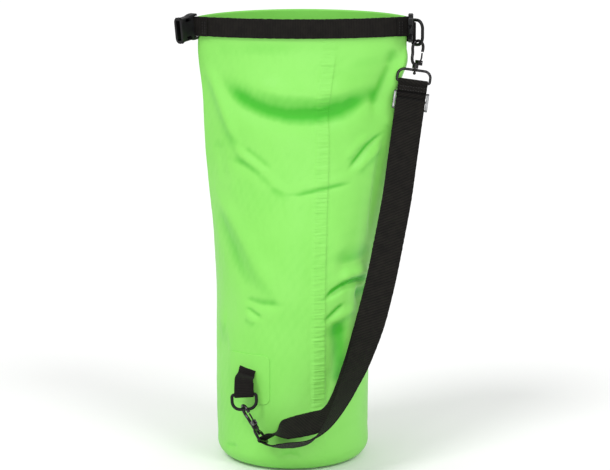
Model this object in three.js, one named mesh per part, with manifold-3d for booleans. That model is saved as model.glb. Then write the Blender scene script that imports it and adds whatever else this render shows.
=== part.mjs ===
// Roll-top dry bag of about 15 litres, standing open: a welded PVC tube with a round base, a stiffened mouth with
// a side-release buckle, and a shoulder strap that clips between a D-ring at the mouth and one near the base.
// Millimetres, +Z up, origin at the centre of the base on the surface that the bag stands on, front towards -Y.
import * as THREE from "three";
import { mergeVertices } from "three/addons/utils/BufferGeometryUtils.js";
import Module from "manifold-3d";

const wasm = await Module();
wasm.setup();

// ---- Driving dimensions ----
const BAG_RADIUS = 100; // middle of the wall
const BAG_HEIGHT = 584; // base to rim
const WALL = 1.0;
const BASE_EDGE_RADIUS = 22; // the wall's turn into the base
const BASE_DISC = 1.0; // thickness
const BASE_FLANGE = 12; // how far the wall laps over the base disc
const GAP = 0.3; // between pieces that touch

const MOUTH_HALF_CHORD = 133.5; // flattened mouth, corner to corner
const MOUTH_MIDDLE = [12.5, -18]; // the middle of that chord
const FRONT_SHARE = 4 / 9; // how much of the girth is in front of the corners
const FLARE_START = 230; // the wall is round below this height
const FLARE_MIDDLE = 470; // widens slowly up to here, then quickly
const FLARE_END = 550;
const LOWER_FLARE = 0.6; // how much of the flattening is done by FLARE_MIDDLE
const LOWER_SHIFT = 0.35; // how much of the mouth's offset is done by FLARE_MIDDLE

const SEAM_FROM = 26; // lap seam up the front, measured round the girth from the front centre
const SEAM_TO = 43.5;
const SEAM_STEP = 0.9;
const SEAM_TOP = 540; // it runs out below the closure webbing
const SEAM_EDGE = 0.8; // run of the step at each side of the lap

const WEB = 1.4; // thickness of all the webbing
const CLOSURE_WIDTH = 25;
const STRAP_WIDTH = 38;
const STIFFENER = 1.0;
const STIFFENER_WIDTH = 19;

const BUCKLE_ACROSS = 33.5; // outside width of a buckle for 25 mm webbing
const BUCKLE_THICK = 11;
const BUCKLE_BAR = 1.6; // radius of the bar that the webbing goes round
const FEMALE_LENGTH = 28; // bar to mouth
const MALE_BASE = 9; // bar to the roots of the prongs
const PRONG_LENGTH = 21;

const D_RING_HALF = 15.75; // middle of the section to the middle, along the bar
const D_RING_DEPTH = 19;
const D_RING_SECTION = 4;

const STRAP_RING_HALF = 21.2; // middle of the section
const STRAP_RING_RISE = 15.5;
const STRAP_RING_SECTION = 3.4;

const HOOK_TOP = 37.9; // swivel to the middle of the hook's crown
const HOOK_BAR = 2.0; // radius
const GATE_PIVOT = [6.6, 10.8];
const GATE_WIRE = 1.1; // radius

const SLIDER_LENGTH = 24;
const SLIDER_RAIL = 3;
const SLIDER_BAR = 1.2; // radius
const SLIDER_AT = 24.4; // from the ring's bar down the strap to the slider's centre bar

// ---- Materials ----
const finish = (colour, roughness, metalness) => new THREE.MeshStandardMaterial({ color: colour, roughness, metalness });
const MATERIALS = {
  tarpaulin: finish(0x6fd84a, 0.42, 0),
  webbing: finish(0x1d1b1a, 0.85, 0),
  plastic: finish(0x111112, 0.4, 0),
  gunmetal: finish(0x3a3a3d, 0.3, 0.9),
  nickel: finish(0xb9babd, 0.28, 1),
};

// ---- Helpers ----
const vec = (x, y, z) => new THREE.Vector3(x, y, z);
const mix = THREE.MathUtils.lerp;
const smooth = (x, from, to) => THREE.MathUtils.smoothstep(x, from, to);

// The same surface with shared vertices and its faces pointing out.
function closed(geometry) {
  const shape = geometry.index ? geometry.toNonIndexed() : geometry.clone();
  shape.deleteAttribute("normal");
  shape.deleteAttribute("uv");
  const merged = mergeVertices(shape, 1e-4);
  const at = merged.attributes.position;
  const index = Array.from(merged.index.array);
  const kept = [];
  let volume = 0;
  for (let i = 0; i < index.length; i += 3) {
    const [a, b, c] = index.slice(i, i + 3);
    if (a === b || b === c || c === a) continue;
    kept.push(a, b, c);
    const [p, q, r] = [a, b, c].map((k) => new THREE.Vector3().fromBufferAttribute(at, k));
    volume += p.dot(q.cross(r));
  }
  if (volume < 0) {
    for (let i = 0; i < kept.length; i += 3) [kept[i], kept[i + 1]] = [kept[i + 1], kept[i]];
  }
  merged.setIndex(kept);
  return merged;
}

function solid(geometry) {
  const shape = closed(geometry);
  const vertProperties = new Float32Array(shape.attributes.position.array);
  const triVerts = new Uint32Array(shape.index.array);
  return new wasm.Manifold(new wasm.Mesh({ numProp: 3, vertProperties, triVerts }));
}

function geometryOf(manifold) {
  const mesh = manifold.getMesh();
  const geometry = new THREE.BufferGeometry();
  geometry.setAttribute("position", new THREE.BufferAttribute(new Float32Array(mesh.vertProperties), 3));
  geometry.setIndex(Array.from(mesh.triVerts));
  return geometry;
}

const joined = (...shapes) => shapes.reduce((whole, shape) => whole.add(shape));
const block = (sx, sy, sz, x, y, z) => solid(new THREE.BoxGeometry(sx, sy, sz).translate(x, y, z));

// A cylinder along x, y or z.
function rod(radius, length, axis, x, y, z, sides = 16) {
  const geometry = new THREE.CylinderGeometry(radius, radius, length, sides);
  if (axis === "x") geometry.rotateZ(Math.PI / 2);
  if (axis === "z") geometry.rotateX(Math.PI / 2);
  return solid(geometry.translate(x, y, z));
}

// A flat shape drawn in x and z, given a thickness along y, with its edges bevelled.
function plate(shape, thickness, bevel) {
  const options = { depth: thickness - 2 * bevel, curveSegments: 6, steps: 1, bevelEnabled: bevel > 0 };
  Object.assign(options, { bevelSize: bevel, bevelThickness: bevel, bevelOffset: -bevel, bevelSegments: 1 });
  const geometry = new THREE.ExtrudeGeometry(shape, options);
  return geometry.translate(0, 0, bevel - thickness / 2).rotateX(Math.PI / 2);
}

// A rectangle with rounded corners, the lower pair and the upper pair each with their own radius.
function rounded(path, left, right, bottom, top, lower, upper) {
  const quarter = Math.PI / 2;
  path.moveTo(left + lower, bottom);
  path.lineTo(right - lower, bottom);
  path.absarc(right - lower, bottom + lower, lower, -quarter, 0, false);
  path.lineTo(right, top - upper);
  path.absarc(right - upper, top - upper, upper, 0, quarter, false);
  path.lineTo(left + upper, top);
  path.absarc(left + upper, top - upper, upper, quarter, 2 * quarter, false);
  path.lineTo(left, bottom + lower);
  path.absarc(left + lower, bottom + lower, lower, 2 * quarter, 3 * quarter, false);
  return path;
}

// A closed ring of one section round a rounded rectangle, drawn in x and z.
function ring(half, rise, lower, upper, section) {
  const bevel = section * 0.28;
  const inset = section / 2;
  const outline = rounded(
    new THREE.Shape(), -half - inset, half + inset, -inset, rise + inset, lower + inset, upper + inset);
  outline.holes.push(rounded(
    new THREE.Path(), -half + inset, half - inset, inset, rise - inset, lower - inset, upper - inset));
  return plate(outline, section, bevel);
}

// A route that ExtrudeGeometry follows exactly: each station has a point and the direction across the section.
class StationRoute extends THREE.Curve {
  constructor(stations) {
    super();
    this.stations = stations;
  }
  getSpacedPoints() {
    return this.stations.map((station) => station.point.clone());
  }
  computeFrenetFrames() {
    const points = this.stations.map((station) => station.point);
    const tangents = points.map((point, i) => {
      const before = points[Math.max(i - 1, 0)];
      const after = points[Math.min(i + 1, points.length - 1)];
      return after.clone().sub(before).normalize();
    });
    const normals = this.stations.map((station, i) => station.across.clone().cross(tangents[i]).normalize());
    const binormals = this.stations.map((station) => station.across.clone().normalize());
    return { tangents, normals, binormals };
  }
}

function along(stations, section) {
  const options = { steps: stations.length - 1, extrudePath: new StationRoute(stations) };
  return new THREE.ExtrudeGeometry(section, options);
}

function webbing(stations, width, thickness = WEB) {
  const [t, w] = [thickness / 2, width / 2];
  const corners = [[-t, -w], [t, -w], [t, w], [-t, w]].map(([x, y]) => new THREE.Vector2(x, y));
  return along(stations, new THREE.Shape(corners));
}

// A round bar through points of the x, z plane.
function bentBar(points, radius, steps, sides = 10) {
  const curve = new THREE.CatmullRomCurve3(points.map(([x, z]) => vec(x, 0, z)), false, "centripetal");
  const stations = [];
  for (let i = 0; i <= steps; i += 1) stations.push({ point: curve.getPoint(i / steps), across: vec(0, 1, 0) });
  const section = new THREE.Shape();
  const corners = Array.from({ length: sides }, (_, k) => (2 * Math.PI * k) / sides);
  section.setFromPoints(corners.map((a) => new THREE.Vector2(radius * Math.cos(a), radius * Math.sin(a))));
  return solid(along(stations, section));
}

function placed(origin, xAxis, zAxis) {
  const group = new THREE.Group();
  const z = zAxis.clone().normalize();
  const x = xAxis.clone().addScaledVector(z, -xAxis.dot(z)).normalize();
  group.applyMatrix4(new THREE.Matrix4().makeBasis(x, z.clone().cross(x), z));
  group.position.copy(origin);
  return group;
}

function add(group, name, geometry, material) {
  const mesh = new THREE.Mesh(closed(geometry), material);
  mesh.name = name;
  group.add(mesh);
  return mesh;
}

// ---- The wall's shape: round at the base, and two arcs that meet in corners at the mouth ----
const GIRTH = 2 * Math.PI * BAG_RADIUS;
const FRONT_HALF = (GIRTH * FRONT_SHARE) / 2;
const BACK_HALF = GIRTH / 2 - FRONT_HALF;

// Half the angle of an arc whose half length and half chord are known.
function halfAngle(halfLength, halfChord) {
  let [low, high] = [0.01, Math.PI / 2];
  for (let i = 0; i < 50; i += 1) {
    const middle = (low + high) / 2;
    if (Math.sin(middle) / middle > halfChord / halfLength) low = middle;
    else high = middle;
  }
  return (low + high) / 2;
}

const FRONT_ANGLE = halfAngle(FRONT_HALF, MOUTH_HALF_CHORD);
const BACK_ANGLE = halfAngle(BACK_HALF, MOUTH_HALF_CHORD);
const FRONT_RADIUS = FRONT_HALF / FRONT_ANGLE;
const BACK_RADIUS = BACK_HALF / BACK_ANGLE;
const FRONT_CENTRE = MOUTH_MIDDLE[1] + FRONT_RADIUS * Math.cos(FRONT_ANGLE);
const BACK_CENTRE = MOUTH_MIDDLE[1] - BACK_RADIUS * Math.cos(BACK_ANGLE);

// The mouth's outline at a distance round the girth from the front centre, with its outward normal.
function mouthPoint(arc) {
  const side = Math.sign(arc);
  const front = (arc / FRONT_HALF) * FRONT_ANGLE;
  const back = (side * (GIRTH / 2 - Math.abs(arc)) * BACK_ANGLE) / BACK_HALF;
  const inFront = Math.abs(arc) <= FRONT_HALF + 0.01;
  const frontNormal = vec(Math.sin(front), -Math.cos(front), 0);
  const backNormal = vec(Math.sin(back), Math.cos(back), 0);
  const point = inFront
    ? vec(MOUTH_MIDDLE[0], FRONT_CENTRE, 0).addScaledVector(frontNormal, FRONT_RADIUS)
    : vec(MOUTH_MIDDLE[0], BACK_CENTRE, 0).addScaledVector(backNormal, BACK_RADIUS);
  if (Math.abs(Math.abs(arc) - FRONT_HALF) < 0.01) {
    const corner = frontNormal.clone().add(backNormal).normalize();
    return { point, normal: corner.multiplyScalar(1 / corner.dot(frontNormal)) };
  }
  return { point, normal: inFront ? frontNormal : backNormal };
}

// A point of the wall at a height, a distance round the girth, and an offset out from its middle.
function wallPoint(arc, z, offset) {
  const lower = smooth(z, FLARE_START, FLARE_MIDDLE);
  const upper = smooth(z, FLARE_MIDDLE, FLARE_END);
  const flat = LOWER_FLARE * lower + (1 - LOWER_FLARE) * upper;
  const shift = LOWER_SHIFT * lower + (1 - LOWER_SHIFT) * upper;
  const angle = arc / BAG_RADIUS;
  const round = vec(Math.sin(angle), -Math.cos(angle), 0).multiplyScalar(BAG_RADIUS + offset);
  const { point, normal } = mouthPoint(arc);
  point.addScaledVector(normal, offset);
  const x = mix(round.x, point.x - MOUTH_MIDDLE[0], flat) + MOUTH_MIDDLE[0] * shift;
  const y = mix(round.y, point.y - MOUTH_MIDDLE[1], flat) + MOUTH_MIDDLE[1] * shift;
  return vec(x, y, z);
}

// Distances round the girth of the wall's columns of vertices, the seam's edges and the corners among them.
function wallColumns() {
  const count = 72;
  const every = Array.from({ length: count }, (_, i) => (i - count / 2 + 1) * (GIRTH / count));
  const seam = [SEAM_FROM - SEAM_EDGE, SEAM_FROM, SEAM_TO, SEAM_TO + SEAM_EDGE];
  const clear = every.filter((arc) => seam.every((edge) => Math.abs(arc - edge) > 2));
  return [...clear, ...seam].sort((a, b) => a - b);
}

function bagWall() {
  const turn = BAG_RADIUS - BASE_EDGE_RADIUS;
  const bottom = BASE_DISC + GAP;
  const profile = [];
  const levels = [120, FLARE_START];
  for (let z = FLARE_START + 30; z < BAG_HEIGHT - 20; z += 27) levels.push(z);
  levels.push(BAG_HEIGHT);
  // up the outside from the flange's inner edge, over the rim and down the inside
  for (const side of [1, -1]) {
    const radius = BASE_EDGE_RADIUS + (side * WALL) / 2;
    const centre = bottom + BASE_EDGE_RADIUS + WALL / 2;
    const part = [new THREE.Vector2(turn - BASE_FLANGE, centre - radius)];
    for (let i = 0; i <= 5; i += 1) {
      const angle = (Math.PI / 2) * (i / 5 - 1);
      part.push(new THREE.Vector2(turn + radius * Math.cos(angle), centre + radius * Math.sin(angle)));
    }
    for (const z of levels) part.push(new THREE.Vector2(turn + radius, z));
    profile.push(...(side > 0 ? part : part.reverse()));
  }
  profile.push(profile[0].clone());
  const columns = wallColumns();
  const geometry = new THREE.LatheGeometry(profile, columns.length);
  const at = geometry.attributes.position;
  for (let i = 0; i <= columns.length; i += 1) {
    const arc = columns[i % columns.length];
    const onSeam = arc > SEAM_FROM - 0.1 && arc < SEAM_TO + 0.1;
    profile.forEach((corner, j) => {
      const outside = corner.x > BAG_RADIUS && corner.y > 2 * BASE_EDGE_RADIUS && corner.y < SEAM_TOP;
      const step = onSeam && outside ? SEAM_STEP : 0;
      const point = wallPoint(arc, corner.y, corner.x - BAG_RADIUS + step);
      at.setXYZ(i * profile.length + j, point.x, point.y, point.z);
    });
  }
  return geometry;
}

function baseDisc() {
  const radius = BAG_RADIUS - BASE_EDGE_RADIUS;
  return new THREE.CylinderGeometry(radius, radius, BASE_DISC, 48).rotateX(Math.PI / 2).translate(0, 0, BASE_DISC / 2);
}

// ---- Mouth: stiffener, closure webbing and buckle ----
const BAND_HEIGHT = BAG_HEIGHT - CLOSURE_WIDTH / 2;
const UP = vec(0, 0, 1);
const LOOP_RADIUS = BUCKLE_BAR + GAP + WEB / 2;
const LOOP_REACH = 3; // how far past the bag's corner the loop's bar stands
const BAND_OFFSET = WALL / 2 + GAP + STIFFENER + GAP + WEB / 2;

// Stations along the front of the mouth, between two shares of its half length.
function frontStations(offset, from, to, z, count) {
  const stations = [];
  for (let i = 0; i <= count; i += 1) {
    const { point, normal } = mouthPoint(mix(from, to, i / count) * FRONT_HALF);
    stations.push({ point: point.addScaledVector(normal, offset).setZ(z), across: UP });
  }
  return stations;
}

// Each buckle's direction from its bar, and the way its bar leans.
const FEMALE_WAY = vec(-0.63, -0.76, -0.13);
const FEMALE_LEAN = vec(-0.083, -0.1, 1).normalize();
const MALE_WAY = vec(-0.05, -0.985, -0.16);
const MALE_LEAN = vec(0, -0.16, 0.985).normalize();

// Where a buckle's bar stands at one end of the closure webbing: side is -1 on the left and 1 on the right.
function bandEnd(side) {
  const out = vec(side * Math.sin(FRONT_ANGLE), -Math.cos(FRONT_ANGLE), 0);
  const on = vec(side * Math.cos(FRONT_ANGLE), Math.sin(FRONT_ANGLE), 0);
  const { point } = mouthPoint(side * FRONT_HALF * 0.999);
  point.addScaledVector(out, BAND_OFFSET).setZ(BAND_HEIGHT);
  const place = (a, b, across = UP) => (
    { point: point.clone().addScaledVector(on, a).addScaledVector(out, b), across });
  return { place, bar: place(LOOP_REACH, LOOP_RADIUS).point };
}

// From the webbing's sewn end in front, round the bar, and back to the main layer.
function bandLoop(side) {
  const { place } = bandEnd(side);
  const lean = side < 0 ? FEMALE_LEAN : MALE_LEAN;
  const lap = WEB + GAP;
  const stations = [place(-16, lap + 0.1), place(LOOP_REACH - 9.5, lap)];
  for (let i = 0; i <= 10; i += 1) {
    const angle = mix(Math.PI + 0.5, 0.12, i / 10);
    stations.push(place(LOOP_REACH + LOOP_RADIUS * Math.sin(angle), LOOP_RADIUS * (1 - Math.cos(angle)), lean));
  }
  return stations;
}

function closureWebbing() {
  const main = frontStations(BAND_OFFSET, -0.985, 0.985, BAND_HEIGHT, 22);
  return webbing([...bandLoop(-1), ...main, ...bandLoop(1).reverse()], CLOSURE_WIDTH);
}

const stiffener = () => webbing(
  frontStations(WALL / 2 + GAP + STIFFENER / 2, -0.93, 0.93, BAND_HEIGHT, 20), STIFFENER_WIDTH, STIFFENER);

// Buckle halves lie along +x from their bars, which run along z, and are thin along y.
function femaleBuckle() {
  const half = BUCKLE_ACROSS / 2;
  const shape = new THREE.Shape();
  shape.moveTo(-3.4, -half + 3);
  shape.quadraticCurveTo(-3.4, -half, 0, -half);
  shape.lineTo(5, -half);
  shape.quadraticCurveTo(9, -half + 0.4, 12, -half + 1.6);
  shape.lineTo(FEMALE_LENGTH - 4, -half + 1.6);
  shape.lineTo(FEMALE_LENGTH, -half);
  shape.lineTo(FEMALE_LENGTH, half);
  shape.lineTo(FEMALE_LENGTH - 4, half - 1.6);
  shape.lineTo(12, half - 1.6);
  shape.quadraticCurveTo(9, half - 0.4, 5, half);
  shape.lineTo(0, half);
  shape.quadraticCurveTo(-3.4, half, -3.4, half - 3);
  shape.closePath();
  let body = solid(plate(shape, BUCKLE_THICK, 1.2));
  const lip = rounded(new THREE.Shape(), -6.5, 6.5, -half - 0.2, half + 0.2, 6.4, 6.4);
  const flange = new THREE.ExtrudeGeometry(lip, { depth: 3, bevelEnabled: false, curveSegments: 6 });
  const frame = new THREE.Matrix4().makeBasis(vec(0, 1, 0), vec(0, 0, 1), vec(1, 0, 0));
  body = body.add(solid(flange.applyMatrix4(frame).translate(FEMALE_LENGTH - 2, 0, 0)));
  const socket = FEMALE_LENGTH - 4;
  body = body.subtract(block(socket, 6.6, 26.4, 7 + socket / 2, 0, 0));
  for (const side of [-1, 1]) body = body.subtract(block(9.5, 20, 4.4, 15.5, 0, side * (half - 5.2)));
  // the bar, with the webbing's slot round it and both faces cut back to let the loop in
  body = body.subtract(block(9.5, 20, CLOSURE_WIDTH + 2.6, 0.9, 0, 0));
  return geometryOf(body.add(rod(BUCKLE_BAR, CLOSURE_WIDTH + 4.4, "z", 0, 0, 0)));
}

function maleBody() {
  const half = BUCKLE_ACROSS / 2;
  let body = solid(plate(rounded(new THREE.Shape(), -3.4, MALE_BASE, -half, half, 3, 3), 6.5, 1));
  body = body.subtract(block(9.5, 20, CLOSURE_WIDTH + 2.6, 0.9, 0, 0));
  const tongue = rounded(new THREE.Shape(), MALE_BASE - 2, MALE_BASE + PRONG_LENGTH - 4, -3.4, 3.4, 1.2, 1.2);
  return geometryOf(joined(
    body, rod(BUCKLE_BAR, CLOSURE_WIDTH + 4.4, "z", 0, 0, 0), solid(plate(tongue, 3, 0.6))));
}

// One prong, which springs on its root: side is 1 for the upper one.
function maleProng(side) {
  const root = MALE_BASE + GAP;
  const shape = new THREE.Shape();
  shape.moveTo(root, 9.2);
  shape.lineTo(root + 17.5, 8.6);
  shape.quadraticCurveTo(root + PRONG_LENGTH, 9, root + PRONG_LENGTH, 11);
  shape.quadraticCurveTo(root + 18, 13.8, root + 13, 15.6);
  shape.lineTo(root + 7.5, 15.8);
  shape.lineTo(root + 7, 12);
  shape.lineTo(root, 12.6);
  shape.closePath();
  return plate(shape, 5.4, 0.7).scale(1, 1, side);
}

// ---- Rings and hooks ----
// The D-ring's bar lies along x through the origin, and its bow reaches out along +z.
const dRing = () => ring(D_RING_HALF, D_RING_DEPTH, 3, 10.5, D_RING_SECTION);

// The strap ring's bar lies along x through the origin, with the swivel's eye in its upper side.
function strapRing() {
  const loop = solid(ring(STRAP_RING_HALF, STRAP_RING_RISE, 2.4, 8.5, STRAP_RING_SECTION));
  const eye = rod(3.2, 3.8, "z", 0, 0, STRAP_RING_RISE);
  return geometryOf(loop.add(eye).subtract(rod(1.6, 8, "z", 0, 0, STRAP_RING_RISE)));
}

// The hook stands on its swivel at the origin: the spine on -x, the gate on +x, the crown at HOOK_TOP.
function hookBody() {
  const route = [
    [0, 6], [-5, 9], [-7.2, 14], [-7.4, 21], [-8.8, 28.5], [-7, 34.6], [0, HOOK_TOP],
    [7, 34.6], [8.9, 29.5], [8.4, 24.4],
  ];
  const [px, pz] = GATE_PIVOT;
  let body = joined(bentBar(route, HOOK_BAR, 26), rod(4, 6.3, "z", 0, 0, 5.35));
  body = body.add(block(8, 5.6, 6.4, px - 1.6, 0, pz - 0.8));
  body = body.subtract(block(7, 2.9, 9, px + 0.9, 0, pz + 1.2));
  body = body.subtract(rod(1.05, 9, "y", px, 0, pz, 12));
  return geometryOf(body.subtract(rod(1.6, 5.4, "z", 0, 0, 4.6)));
}

function hookGate() {
  const [px, pz] = GATE_PIVOT;
  const wire = bentBar([[px, pz], [px + 1.7, pz + 5], [px + 1.7, pz + 12.3]], GATE_WIRE, 8, 8);
  return geometryOf(wire.add(rod(2, 2.2, "y", px, 0, pz, 12)).subtract(rod(1.05, 9, "y", px, 0, pz, 12)));
}

const gatePin = () => new THREE.CylinderGeometry(0.75, 0.75, 6.4, 10).translate(GATE_PIVOT[0], 0, GATE_PIVOT[1]);

function swivelRivet() {
  const shank = rod(1.3, 10, "z", 0, 0, 1.6);
  return geometryOf(shank.add(solid(new THREE.SphereGeometry(2.1, 14, 8).translate(0, 0, -4.1))));
}

// A swivel hook and its strap ring. axis points from the ring's bar up to the hook, across along that bar,
// gateWay from the spine towards the gate.
function hookSet(root, prefix, ringBar, axis, across, gateWay) {
  const ringGroup = placed(ringBar, across, axis);
  add(ringGroup, `${prefix}_strap_ring`, strapRing(), MATERIALS.gunmetal);
  const swivel = ringBar.clone().addScaledVector(axis, STRAP_RING_RISE);
  const hook = placed(swivel, gateWay, axis);
  add(hook, `${prefix}_hook_body`, hookBody(), MATERIALS.gunmetal);
  add(hook, `${prefix}_hook_gate`, hookGate(), MATERIALS.gunmetal);
  add(hook, `${prefix}_gate_pin`, gatePin(), MATERIALS.nickel);
  add(hook, `${prefix}_swivel_rivet`, swivelRivet(), MATERIALS.gunmetal);
  root.add(ringGroup, hook);
}

// ---- Upper end: tab, D-ring, hook, slider ----
const UPPER_BAR = vec(154.5, -11, 563); // the D-ring's bar, upright
const UPPER_BOW = vec(Math.cos(-0.908), Math.sin(-0.908), 0); // the way its bow points
const STRAP_DOWN = vec(-0.136, -0.145, -0.98).normalize(); // the strap's top stretch, which hangs straight
const STRAP_ACROSS = vec(1, 0, 0).addScaledVector(STRAP_DOWN, -STRAP_DOWN.x).normalize();
const STRAP_FRONT = STRAP_DOWN.clone().cross(STRAP_ACROSS);
const HOOK_SEAT = HOOK_TOP - HOOK_BAR - 1.4 - D_RING_SECTION / 2; // swivel to the middle of the ring it hangs on
const HOOK_PLACE = 11; // how far along the D-ring's lower side the hook hangs

const upperSeat = UPPER_BAR.clone().addScaledVector(UPPER_BOW, HOOK_PLACE).addScaledVector(UP, -D_RING_HALF);
const UPPER_RING = upperSeat.clone().addScaledVector(STRAP_DOWN, HOOK_SEAT + STRAP_RING_RISE);

// A folded tab of closure webbing: out from the bag's side, round the D-ring's bar and back.
function upperTab() {
  const radius = 2.35 + GAP + WEB / 2;
  const half = (WEB + GAP) / 2;
  const place = (x, y) => ({ point: vec(UPPER_BAR.x + x, UPPER_BAR.y + y, UPPER_BAR.z), across: UP });
  const stations = [place(-9, half), place(-5.5, half)];
  for (let i = 0; i <= 12; i += 1) {
    const angle = mix(2.45, -2.45, i / 12);
    stations.push(place(radius * Math.cos(angle), radius * Math.sin(angle)));
  }
  return webbing([...stations, place(-5.5, -half), place(-9, -half)], CLOSURE_WIDTH);
}

// A point beside the strap's top stretch: s down it from the ring's bar, out towards the front.
function strapPlace(s, out) {
  const point = UPPER_RING.clone().addScaledVector(STRAP_DOWN, s).addScaledVector(STRAP_FRONT, out);
  return { point, across: STRAP_ACROSS };
}

const RING_WRAP = STRAP_RING_SECTION / 2 + GAP + 0.1 + WEB / 2; // radius of the webbing's turn round a ring's bar
const LAP = WEB + GAP; // from one layer of the strap to the next
const RUNNING_OUT = -RING_WRAP; // the running layer hangs behind the ring's bar
const TAIL_OUT = RUNNING_OUT + LAP;
const SLIDER_WRAP = SLIDER_BAR + GAP + WEB / 2;
const SLIDER_BAR_OUT = TAIL_OUT + SLIDER_WRAP;
const OUTER_BAR_OUT = RUNNING_OUT - WEB / 2 - GAP - SLIDER_BAR;

// A three-bar slider round the strap: the outer bars behind the running layer, the centre bar in front of it.
function slider() {
  const rail = STRAP_WIDTH / 2 + 0.8 + SLIDER_RAIL / 2;
  const depth = SLIDER_BAR_OUT - OUTER_BAR_OUT + 2 * SLIDER_BAR;
  const middle = (SLIDER_BAR_OUT + OUTER_BAR_OUT) / 2;
  const end = rounded(new THREE.Shape(), -depth / 2, depth / 2, -SLIDER_LENGTH / 2, SLIDER_LENGTH / 2, 3, 3);
  const shapes = [-1, 1].map((side) => {
    const geometry = plate(end, SLIDER_RAIL, 0.5).rotateZ(Math.PI / 2);
    return solid(geometry.translate(side * rail, -middle, -SLIDER_AT));
  });
  shapes.push(rod(SLIDER_BAR, 2 * rail, "x", 0, -SLIDER_BAR_OUT, -SLIDER_AT));
  for (const end of [-1, 1]) {
    const z = -SLIDER_AT + end * (SLIDER_LENGTH / 2 - 1.5);
    shapes.push(rod(SLIDER_BAR, 2 * rail, "x", 0, -OUTER_BAR_OUT, z));
  }
  return geometryOf(joined(...shapes));
}

// ---- Lower end ----
const LOWER_BAR = vec(-62.5, -97, 105); // the D-ring's bar, level
const LOWER_BOW = vec(0.05, -0.3, -0.95).normalize(); // the way its bow hangs
const LOWER_BAR_WAY = vec(1, -0.1, -0.02).addScaledVector(LOWER_BOW, -0.1).normalize();
const LOWER_HOOK_DOWN = vec(0.505, -0.4, -0.76).normalize();

const lowerSeat = LOWER_BAR.clone().addScaledVector(LOWER_BOW, D_RING_DEPTH);
const LOWER_RING = lowerSeat.clone().addScaledVector(LOWER_HOOK_DOWN, HOOK_SEAT + STRAP_RING_RISE);
const LOWER_ACROSS = vec(0, 1, 0).addScaledVector(LOWER_HOOK_DOWN, -LOWER_HOOK_DOWN.y).normalize();
const LOWER_GATE_WAY = vec(0.2, -0.82, 0.5);

const TAB_ANGLE = -0.605; // round the bag from the front centre, at the slit
const TAB_HEIGHT = 136;
const TAB_SLOPE = -0.19;
const PATCH_WIDTH = 62;
const PATCH_HEIGHT = 66;
const PATCH = 0.8; // thickness

const radial = (angle) => vec(Math.sin(angle), -Math.cos(angle), 0);

// A frame on the bag's side with its x round the bag, its z up and its y into the bag.
function onBag(angle, radius, z) {
  const group = new THREE.Matrix4().makeBasis(vec(Math.cos(angle), Math.sin(angle), 0), radial(angle).negate(), UP);
  return group.setPosition(radial(angle).multiplyScalar(radius).setZ(z));
}

// The welded patch, with the slit that the tab comes out of.
function anchorPatch() {
  const inner = BAG_RADIUS + WALL / 2 + GAP;
  const profile = [[inner, 0], [inner + PATCH, 0], [inner + PATCH, PATCH_HEIGHT], [inner, PATCH_HEIGHT], [inner, 0]];
  const sleeve = new THREE.LatheGeometry(profile.map(([r, z]) => new THREE.Vector2(r, z)), 96);
  const bottom = TAB_HEIGHT + 20 - PATCH_HEIGHT;
  const outline = rounded(new THREE.Shape(), -PATCH_WIDTH / 2, PATCH_WIDTH / 2, -PATCH_HEIGHT / 2, PATCH_HEIGHT / 2, 9, 9);
  const cutter = plate(outline, 30, 0).applyMatrix4(onBag(TAB_ANGLE, inner, bottom + PATCH_HEIGHT / 2));
  const slit = new THREE.BoxGeometry(CLOSURE_WIDTH + 2, 30, WEB + 1.6).rotateY(-TAB_SLOPE);
  slit.applyMatrix4(onBag(TAB_ANGLE, inner, TAB_HEIGHT));
  const shell = solid(sleeve.rotateX(Math.PI / 2).translate(0, 0, bottom));
  return geometryOf(shell.intersect(solid(cutter)).subtract(solid(slit)));
}

// From the slit out and down, in front of the D-ring's bar, round it and up behind to the sewn end.
function lowerTab() {
  const radius = 2.35 + GAP + WEB / 2;
  const front = LOWER_BOW.clone().cross(LOWER_BAR_WAY).normalize();
  const start = radial(TAB_ANGLE).multiplyScalar(BAG_RADIUS + WALL / 2 + 0.6).setZ(TAB_HEIGHT);
  const slope = vec(Math.cos(TAB_ANGLE), Math.sin(TAB_ANGLE), TAB_SLOPE).normalize();
  const hang = LOWER_BAR.clone().addScaledVector(front, radius);
  const up = vec(0.02, 0.16, 1).normalize();
  const across = (share) => slope.clone().lerp(LOWER_BAR_WAY, share).normalize();
  const bend = (out, down) => start.clone().addScaledVector(radial(TAB_ANGLE), out).addScaledVector(UP, -down);
  const stations = [
    { point: start, across: across(0) },
    { point: bend(2.6, 0.6), across: across(0) },
    { point: bend(5.2, 2.6), across: across(0.05) },
    { point: bend(7.2, 6.4), across: across(0.15) },
    { point: hang.clone().addScaledVector(up, 21), across: across(0.5) },
    { point: hang.clone().addScaledVector(up, 13), across: across(0.8) },
    { point: hang.clone().addScaledVector(up, 6), across: across(1) },
  ];
  for (let i = 0; i <= 10; i += 1) {
    const angle = (Math.PI * 1.12 * i) / 10;
    const point = LOWER_BAR.clone().addScaledVector(front, radius * Math.cos(angle));
    stations.push({ point: point.addScaledVector(LOWER_BOW, radius * Math.sin(angle)), across: LOWER_BAR_WAY });
  }
  const behind = LOWER_BAR_WAY.clone().cross(up).normalize();
  if (behind.dot(front) > 0) behind.negate();
  for (const rise of [7.5, 14]) {
    const point = hang.clone().addScaledVector(up, rise).addScaledVector(behind, LAP + 0.5);
    stations.push({ point, across: LOWER_BAR_WAY });
  }
  return webbing(stations, CLOSURE_WIDTH);
}

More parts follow.
